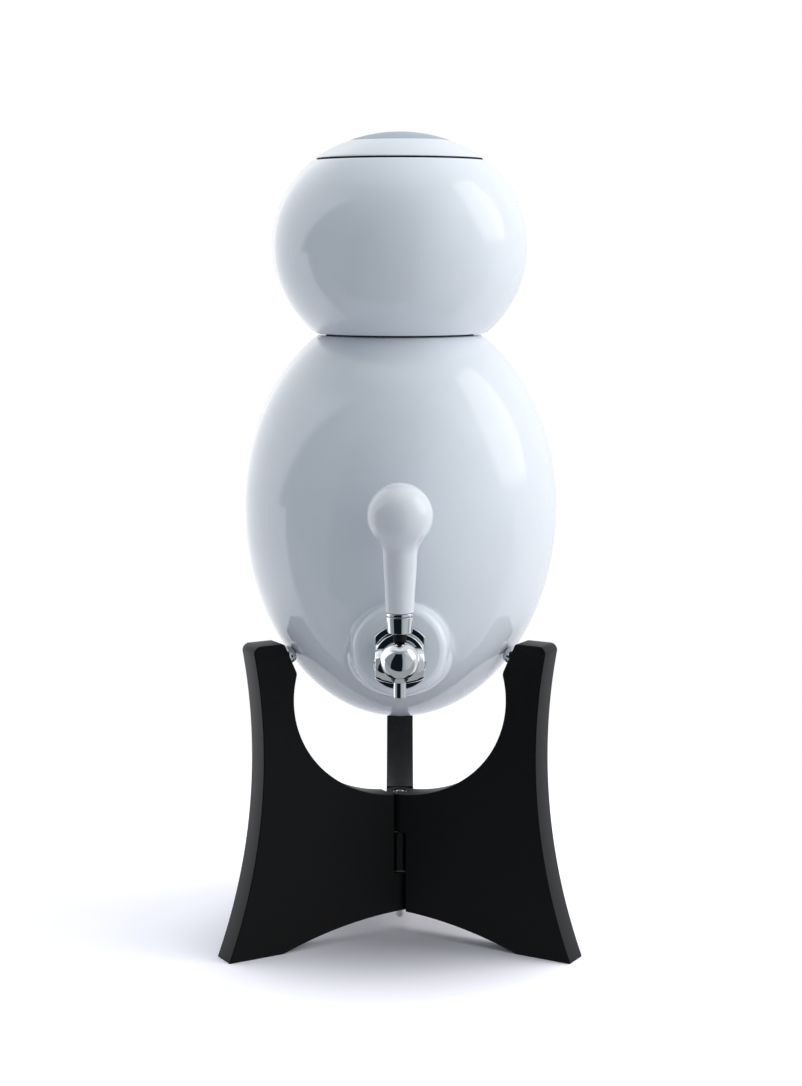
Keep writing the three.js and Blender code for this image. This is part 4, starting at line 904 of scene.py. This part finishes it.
add_piece("valve_seal", grid_mesh("valve_seal", turned(line, 64, forward), True), seal_rubber,
          "valve_plunger", "dark_silicone", "valve_washer")

# Lever: a plated stem that pivots in the ball, a rubber seal over the slot, a plated ferrule and ring with
# a groove between them, and a handle cast and glazed in white porcelain and cemented on.
seal_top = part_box("lever_seal")[1].z - pivot.z
lever_bore, boot_radius = 0.0028, 0.0052
cup_radii = np.linspace(lever_bore, boot_radius, 8)
cup = np.column_stack([cup_radii, np.sqrt((ball_radius + play) ** 2 - cup_radii**2)])
line = profile(cup, (boot_radius, seal_top, 0.0004), (lever_bore, seal_top, 0.0003),
               (lever_bore, cup[0, 1] + 0.002))
add_piece("lever_boot", grid_mesh("lever_boot", turned(line, 64, at_pivot), True), seal_rubber, "tap_lever",
          "dark_silicone", "lever_seal")
frame["nodes"]["lever_stem"].data.materials.clear()
frame["nodes"]["lever_stem"].data.materials.append(chrome)
ferrule_low, ferrule_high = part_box("lever_ferrule")[0].z - pivot.z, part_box("lever_ferrule")[1].z - pivot.z
ferrule_foot, ferrule_head = 0.0096, 0.0106
line = profile(
    (lever_bore, (ferrule_low + ferrule_high) / 2),
    (lever_bore, ferrule_low, 0.0003),
    (ferrule_foot, ferrule_low, 0.0007),
    (ferrule_head, ferrule_high, 0.0005),
    (lever_bore, ferrule_high, 0.0003),
)
add_piece("ferrule_plated", grid_mesh("ferrule_plated", turned(line, 96, at_pivot), True), chrome,
          "tap_lever", "chrome", "lever_ferrule")
ring_low, ring_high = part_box("lever_ferrule_ring")[0].z - pivot.z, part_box("lever_ferrule_ring")[1].z - pivot.z
line = ring_line(lever_bore, ferrule_head, ring_low, ring_high, 0.0008)
add_piece("ferrule_ring_plated", grid_mesh("ferrule_ring_plated", turned(line, 96, at_pivot), True), chrome,
          "tap_lever", "chrome", "lever_ferrule_ring")

handle_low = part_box("lever_handle")[0].z - pivot.z
handle_foot, neck_radius, neck_height = 0.0108, 0.0131, 0.074
bulb_radius, bulb_height, bulb_leave = 0.0254, 0.1119, math.radians(36)
bore_top = 0.0523
bulb_start = np.array([bulb_radius * math.cos(bulb_leave), bulb_height - bulb_radius * math.sin(bulb_leave)])
neck = np.array([neck_radius, neck_height])
taper = (neck_radius - handle_foot) / (neck_height - handle_low)
pull = (bulb_start[1] - neck[1]) / 2
share = np.linspace(0, 1, 28)[:, None]
neck_curve = ((1 - share) ** 3 * neck + 3 * (1 - share) ** 2 * share * (neck + pull * np.array([taper, 1]))
              + 3 * (1 - share) * share**2 * (bulb_start - pull * np.array([math.tan(bulb_leave), 1]))
              + share**3 * bulb_start)
bulb_angles = np.linspace(-bulb_leave, math.pi / 2, 48)[1:]
bulb = np.column_stack([bulb_radius * np.cos(bulb_angles), bulb_height + bulb_radius * np.sin(bulb_angles)])
line = profile((0, bore_top), (lever_bore, bore_top, 0.0004), (lever_bore, handle_low, 0.0005),
               (handle_foot, handle_low, 0.0008), neck_curve, bulb)

# Handle glaze: whiter and a little softer than the vessels' glaze.
handle_glaze, tree = start_material("glazed_handle_porcelain")
place = add(tree, "TexCoord").outputs["Object"]
pooling = add(tree, "TexNoise", {"Vector": place, "Scale": 60.0, "Detail": 2.0})
tone = add(tree, "Mix", {0: pooling, 6: linear("#DBE0E6"), 7: linear("#E0E4EA")}, data_type="RGBA")
waves = add(tree, "Bump", {"Height": pooling, "Strength": 0.04, "Distance": 0.0006})
glazed = add(tree, "BsdfPrincipled", {"Base Color": tone.outputs[2], "Roughness": 0.14, "IOR": 1.5,
                                      "Normal": waves, "Coat Weight": 0.3, "Coat Roughness": 0.05})
add(tree, "OutputMaterial", {"Surface": glazed})
add_piece("handle_glazed", grid_mesh("handle_glazed", turned(line, 128, at_pivot), False), handle_glaze,
          "tap_lever", "handle_glaze", "lever_handle")

# Stand: three 23 mm boards of plywood, stained and lacquered satin black, each cut to one outline and
# hinged on an upright pin by a knuckle a third of the height. Their arrises are eased by sanding.
leg_thickness, leg_height = 0.023, 0.262
foot_reach, waist_reach, waist_height = 0.1682, 0.1347, 0.172
shoulder_radius = 0.006
seat_low = (0.10333, leg_height - 0.026)
seat_top = (0.11503, leg_height)
cradle_width, cradle_rise, cradle_centre = 0.1066, 0.0916, leg_height - 0.0485
arch_rise, arch_half = 0.0198, 0.118
knuckle_radius = leg_thickness / 2
board_inner = knuckle_radius + 0.0009
hinge_top = cradle_centre - cradle_rise
knuckle_gap = 0.0014
knuckle_height = (hinge_top - arch_rise - 2 * knuckle_gap) / 3
waist_sag = foot_reach - waist_reach
outer_radius = (waist_height**2 + waist_sag**2) / (2 * waist_sag)
heights = np.linspace(0, leg_height - shoulder_radius, 60)
waist_curve = np.sqrt(outer_radius**2 - (heights - waist_height) ** 2)
outer_edge = np.column_stack([waist_reach + outer_radius - waist_curve, heights])
shoulder_angles = np.linspace(0, math.pi / 2, 12)[1:]
shoulder = np.column_stack([outer_edge[-1, 0] - shoulder_radius * (1 - np.cos(shoulder_angles)),
                            heights[-1] + shoulder_radius * np.sin(shoulder_angles)])
cradle_start = math.asin((seat_low[1] - cradle_centre) / cradle_rise)
cradle_end = -math.pi / 2 - math.asin(knuckle_radius / cradle_width)
cradle_angles = np.linspace(cradle_start, cradle_end, 90)[1:]
cradle = np.column_stack([cradle_width * np.cos(cradle_angles),
                          cradle_centre + cradle_rise * np.sin(cradle_angles)])
arch_radius = (arch_half**2 + arch_rise**2) / (2 * arch_rise)
arch_reaches = np.linspace(-knuckle_radius, arch_half, 50)
arch = np.column_stack([arch_reaches, arch_rise - arch_radius + np.sqrt(arch_radius**2 - arch_reaches**2)])
leg_outline = profile(
    ((foot_reach + arch_half) / 2, 0),
    (foot_reach, 0, 0.0015),
    outer_edge[1:],
    shoulder,
    (*seat_top, 0.0018),
    (*seat_low, 0.0026),
    cradle,
    arch[:-1],
    (arch_half, 0, 0.0015),
    steps=6,
)

# Lacquered plywood: the faces are dark and even; the edges show the plies as fine lighter streaks along
# their length, since end grain takes the stain unevenly; the eased arris is darkest. Plies are 1.5 mm.
lacquer, tree = start_material("black_lacquered_plywood")
board = add(tree, "UVMap", uv_map="board")
streaked = add(tree, "Mapping", {"Vector": board, "Scale": (1400.0, 22.0, 1.0)})
streaks = add(tree, "TexNoise", {"Vector": streaked, "Scale": 1.0, "Detail": 3.0, "Roughness": 0.6})
pores = add(tree, "Mapping", {"Vector": board, "Scale": (900.0, 130.0, 1.0)})
grain = add(tree, "TexNoise", {"Vector": pores, "Scale": 1.0, "Detail": 4.0, "Roughness": 0.65})
on_edge = add(tree, "Attribute", attribute_name="edge").outputs["Fac"]
on_arris = add(tree, "Attribute", attribute_name="arris").outputs["Fac"]
face_tone = add(tree, "Mix", {0: grain, 6: linear("#101011"), 7: linear("#151516")}, data_type="RGBA")
edge_tone = add(tree, "Mix", {0: streaks, 6: linear("#0F1011"), 7: linear("#242527")}, data_type="RGBA")
board_tone = add(tree, "Mix", {0: on_edge, 6: face_tone.outputs[2], 7: edge_tone.outputs[2]},
                 data_type="RGBA")
tone = add(tree, "Mix", {0: on_arris, 6: board_tone.outputs[2], 7: linear("#040405")}, data_type="RGBA")
relief = add(tree, "Mix", {0: on_edge, 2: grain, 3: streaks})
skin = add(tree, "Bump", {"Height": relief, "Strength": 0.35, "Distance": 0.0002})
satin = add(tree, "MapRange", {"Value": relief, "To Min": 0.36, "To Max": 0.5})
coat = add(tree, "BsdfPrincipled", {"Base Color": tone.outputs[2], "Roughness": satin, "Normal": skin,
                                    "Specular IOR Level": 0.15})
add(tree, "OutputMaterial", {"Surface": coat})

# Bumpers: a plated cup screwed to each sloping seat edge, with a soft grey rubber tip pushed into it.
soft_tip, tree = start_material("moulded_soft_rubber")
place = add(tree, "TexCoord").outputs["Object"]
bloom = add(tree, "TexNoise", {"Vector": place, "Scale": 300.0, "Detail": 3.0})
tone = add(tree, "Mix", {0: bloom, 6: linear("#7F8891"), 7: linear("#8C959E")}, data_type="RGBA")
rubber = add(tree, "BsdfPrincipled", {"Base Color": tone.outputs[2], "Roughness": 0.45})
add(tree, "OutputMaterial", {"Surface": rubber})
cup_radius, cup_height, cup_floor, standoff = 0.0075, 0.0072, 0.0025, 0.0095
tip_radius, tip_dome = 0.0056, 0.0013
screw_hole, screw_hole_depth, head_hole, head_hole_floor = 0.002, 0.0138, 0.0034, cup_floor - 0.0013
cross_hole_radius, cross_hole_height = 0.0011, 0.0034
seat_slope = math.atan2(seat_top[0] - seat_low[0], seat_top[1] - seat_low[1])
bumper_place = (Matrix.Translation(((seat_top[0] + seat_low[0]) / 2, 0, (seat_top[1] + seat_low[1]) / 2))
                @ Matrix.Rotation(seat_slope - math.pi / 2, 4, "Y"))
barrel_heights = np.linspace(0.0009, cup_height - 0.0006, 14)
barrel_share = (barrel_heights - cup_height / 2) / (cup_height / 2)
cup_line = profile(
    (screw_hole, 0.001),
    (screw_hole, play, 0.0002),
    (cup_radius - 0.001, play, 0.0002),
    np.column_stack([cup_radius - 0.0009 * barrel_share**2, barrel_heights]),
    (tip_radius + 0.0009, cup_height),
    (tip_radius + play, cup_height, 0.0002),
    (tip_radius + play, cup_floor, 0.0004),
    (head_hole, cup_floor, 0.0002),
    (head_hole, head_hole_floor, 0.0002),
    (screw_hole, head_hole_floor, 0.0002),
)
dome_curve = (tip_radius**2 + tip_dome**2) / (2 * tip_dome)
tip_radii = np.linspace(tip_radius, 0, 14)
tip_top = standoff - play
tip_arc = np.column_stack([tip_radii, tip_top - dome_curve + np.sqrt(dome_curve**2 - tip_radii**2)])
tip_line = profile((0, cup_floor + play), (tip_radius, cup_floor + play, 0.0003), (*tip_arc[0], 0.0008),
                   tip_arc[1:])
screw_top = cup_floor - 0.00015
screw_radius, screw_head, screw_neck = 0.0017, 0.0031, screw_top - 0.001
screw_line = profile(
    (0, screw_top - 0.016),
    (screw_radius, screw_top - 0.0126, 0.0002),
    (screw_radius, screw_neck, 0.0002),
    (screw_head, screw_neck, 0.0002),
    (screw_head, screw_top, 0.0003),
    (0.0024, screw_top, 0.0001),
    (0, screw_top),
)
hinge_hole, hinge_head_hole, hinge_head_depth = 0.0023, 0.0065, 0.0036
cut_overrun = 0.01
arris_easing = 0.0008
knuckles = {
    "left": ("left_leg", 7 / 12, arch_rise, arch_rise + knuckle_height),
    "back": ("stand", 1 / 4, arch_rise + knuckle_height + knuckle_gap,
             hinge_top - knuckle_height - knuckle_gap),
    "right": ("right_leg", 11 / 12, hinge_top - knuckle_height, hinge_top),
}
board_place = Matrix.Rotation(math.pi / 2, 4, "Z")
upwards = Matrix(((0, 1, 0, 0), (0, 0, 1, 0), (1, 0, 0, 0), (0, 0, 0, 1)))
knuckle_arc = np.linspace(-math.pi / 2, math.pi / 2, 48)
knuckle_round = np.column_stack([-knuckle_radius * np.cos(knuckle_arc), knuckle_radius * np.sin(knuckle_arc)])
past = knuckle_radius + 0.005
around_knuckle = [(0, past), (-past, past), (-past, -past), (0, -past), *knuckle_round]
beside_knuckle = [(-past, -past), (board_inner, -past), (board_inner, past), (-past, past)]
for side, (body, turn_share, knuckle_foot, knuckle_top) in knuckles.items():
    board = loose(prism(leg_outline * np.array([-1, 1]), -leg_thickness / 2, leg_thickness / 2, board_place,
                        arris_easing))
    tools = [rod(hinge_hole, -cut_overrun, hinge_top + cut_overrun, 48),
             rod(hinge_head_hole, hinge_top - hinge_head_depth, hinge_top + cut_overrun, 64),
             rod(screw_hole, -screw_hole_depth, 0.005, 24, bumper_place),
             loose(prism(around_knuckle, -cut_overrun, leg_height, upwards))]
    if knuckle_top < hinge_top - 1e-6:
        tools.append(loose(prism(beside_knuckle, knuckle_top, leg_height, upwards)))
    if knuckle_foot > arch_rise + 1e-6:
        tools.append(loose(prism(beside_knuckle, -cut_overrun, knuckle_foot, upwards)))
    leg_mesh = baked(board, *tools)
    leg_mesh.shade_smooth()
    leg_mesh.set_sharp_from_angle(angle=math.radians(26))
    totals = np.zeros(len(leg_mesh.polygons), int)
    leg_mesh.polygons.foreach_get("loop_total", totals)
    normals = np.zeros(len(leg_mesh.polygons) * 3)
    leg_mesh.polygons.foreach_get("normal", normals)
    across = np.abs(normals.reshape(-1, 3)[:, 1])
    leg_mesh.polygons.foreach_set("use_smooth", across < 0.999)
    vertex_of_corner = np.zeros(len(leg_mesh.loops), int)
    leg_mesh.loops.foreach_get("vertex_index", vertex_of_corner)
    places = np.zeros(len(leg_mesh.vertices) * 3)
    leg_mesh.vertices.foreach_get("co", places)
    corners = places.reshape(-1, 3)[vertex_of_corner]
    edge_corner = np.repeat(across < 0.7, totals)
    uv = np.where(edge_corner[:, None], np.column_stack([corners[:, 1], corners[:, 0] + corners[:, 2]]),
                  corners[:, [0, 2]])
    leg_mesh.uv_layers.new(name="board").data.foreach_set("uv", uv.ravel().astype(np.float32))
    for name, values in (("edge", across < 0.2), ("arris", (across > 0.2) & (across < 0.98))):
        leg_mesh.attributes.new(name, "FLOAT", "FACE").data.foreach_set("value", values.astype(np.float32))
    turn = upright @ Matrix.Rotation(2 * math.pi * turn_share, 4, "Z")
    leg_mesh.transform(turn)
    leg_mesh.materials.clear()
    leg_mesh.materials.append(lacquer)
    leg = bpy.data.objects.new(f"board_{side}", leg_mesh)
    bpy.context.scene.collection.objects.link(leg)
    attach(leg, body)
    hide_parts(f"leg_{side}")
    bumper = turn @ bumper_place
    cross_place = (bumper @ Matrix.Translation((0, 0, cross_hole_height))
                   @ Matrix.Rotation(math.pi / 2, 4, "X"))
    cross_hole = rod(cross_hole_radius, -cut_overrun, cut_overrun, 32, cross_place)
    cup_mesh = baked(loose(grid_mesh("bumper_cup", turned(cup_line, 96, bumper), True)), cross_hole)
    add_piece(f"bumper_cup_{side}_plated", cup_mesh, chrome, body, "chrome", f"bumper_cup_{side}")
    tip_mesh = grid_mesh("bumper_tip", turned(tip_line, 64, bumper), False)
    add_piece(f"bumper_tip_{side}_rubber", tip_mesh, soft_tip, body, "grey_silicone", f"bumper_tip_{side}")
    screw_mesh = grid_mesh("bumper_screw", turned(screw_line, 48, bumper), False)
    add_piece(f"bumper_screw_{side}_steel", screw_mesh, steel, body, "steel", f"bumper_screw_{side}")

# Hinge: a stainless bolt with a six-sided socket in its head, sunk in the top knuckle, and a domed nut
# under the arch. Two plastic washers part the knuckles.
pin_low, pin_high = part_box("hinge_pin")[0].z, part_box("hinge_pin")[1].z
head_radius, head_height, socket_radius, socket_depth = 0.0062, 0.003, 0.0029, 0.0018
hinge_pin_radius = 0.002
nut_hole_depth = 0.0055
hinge_washer_radius = 0.0095
line = profile(
    (0, pin_low),
    (hinge_pin_radius, pin_low, 0.0004),
    (hinge_pin_radius, pin_high - head_height, 0.0003),
    (head_radius, pin_high - head_height, 0.0003),
    (head_radius, pin_high, 0.0008),
    (socket_radius + 0.0003, pin_high, 0.0001),
    (socket_radius, pin_high - 0.0003, 0.0001),
    (socket_radius, pin_high - socket_depth),
    (0, pin_high - socket_depth - 0.0004),
)


def socket(radius, height, angle):
    """Holds the rings of the socket to its hexagon."""
    from_flat = (angle + math.pi / 6) % (math.pi / 3) - math.pi / 6
    hexagon = socket_radius * math.cos(math.pi / 6) / np.cos(from_flat)
    return np.where((height > pin_high - socket_depth - 1e-6) & (radius < socket_radius + 1e-6),
                    np.minimum(radius, hexagon), radius)


add_piece("hinge_bolt", grid_mesh("hinge_bolt", turned(line, 96, upright, socket), False), steel, "stand",
          "steel", "hinge_pin")
nut_foot, nut_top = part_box("hinge_cap_nut")[0].z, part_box("hinge_cap_nut")[1].z
nut_radius = (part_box("hinge_cap_nut")[1].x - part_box("hinge_cap_nut")[0].x) / 2
dome_angles = np.linspace(0, math.pi / 2, 20)
nut_dome = np.column_stack([nut_radius * np.sin(dome_angles),
                            nut_foot + nut_radius * (1 - np.cos(dome_angles))])
nut_bore, nut_hole_top = hinge_pin_radius + play, nut_top - nut_hole_depth
line = profile(nut_dome, (nut_radius, nut_top, 0.0003), (nut_bore, nut_top, 0.0003),
               (nut_bore, nut_hole_top, 0.0003), (0, nut_hole_top))
add_piece("hinge_nut", grid_mesh("hinge_nut", turned(line, 64, upright), False), steel, "stand", "steel",
          "hinge_cap_nut")
for name in ("hinge_washer_lower", "hinge_washer_upper"):
    low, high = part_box(name)[0].z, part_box(name)[1].z
    line = ring_line(hinge_pin_radius + play, hinge_washer_radius, low, high, 0.0002)
    add_piece(name + "_disc", grid_mesh(name, turned(line, 64, upright), True), white_plastic, "stand",
              "white_plastic", name)
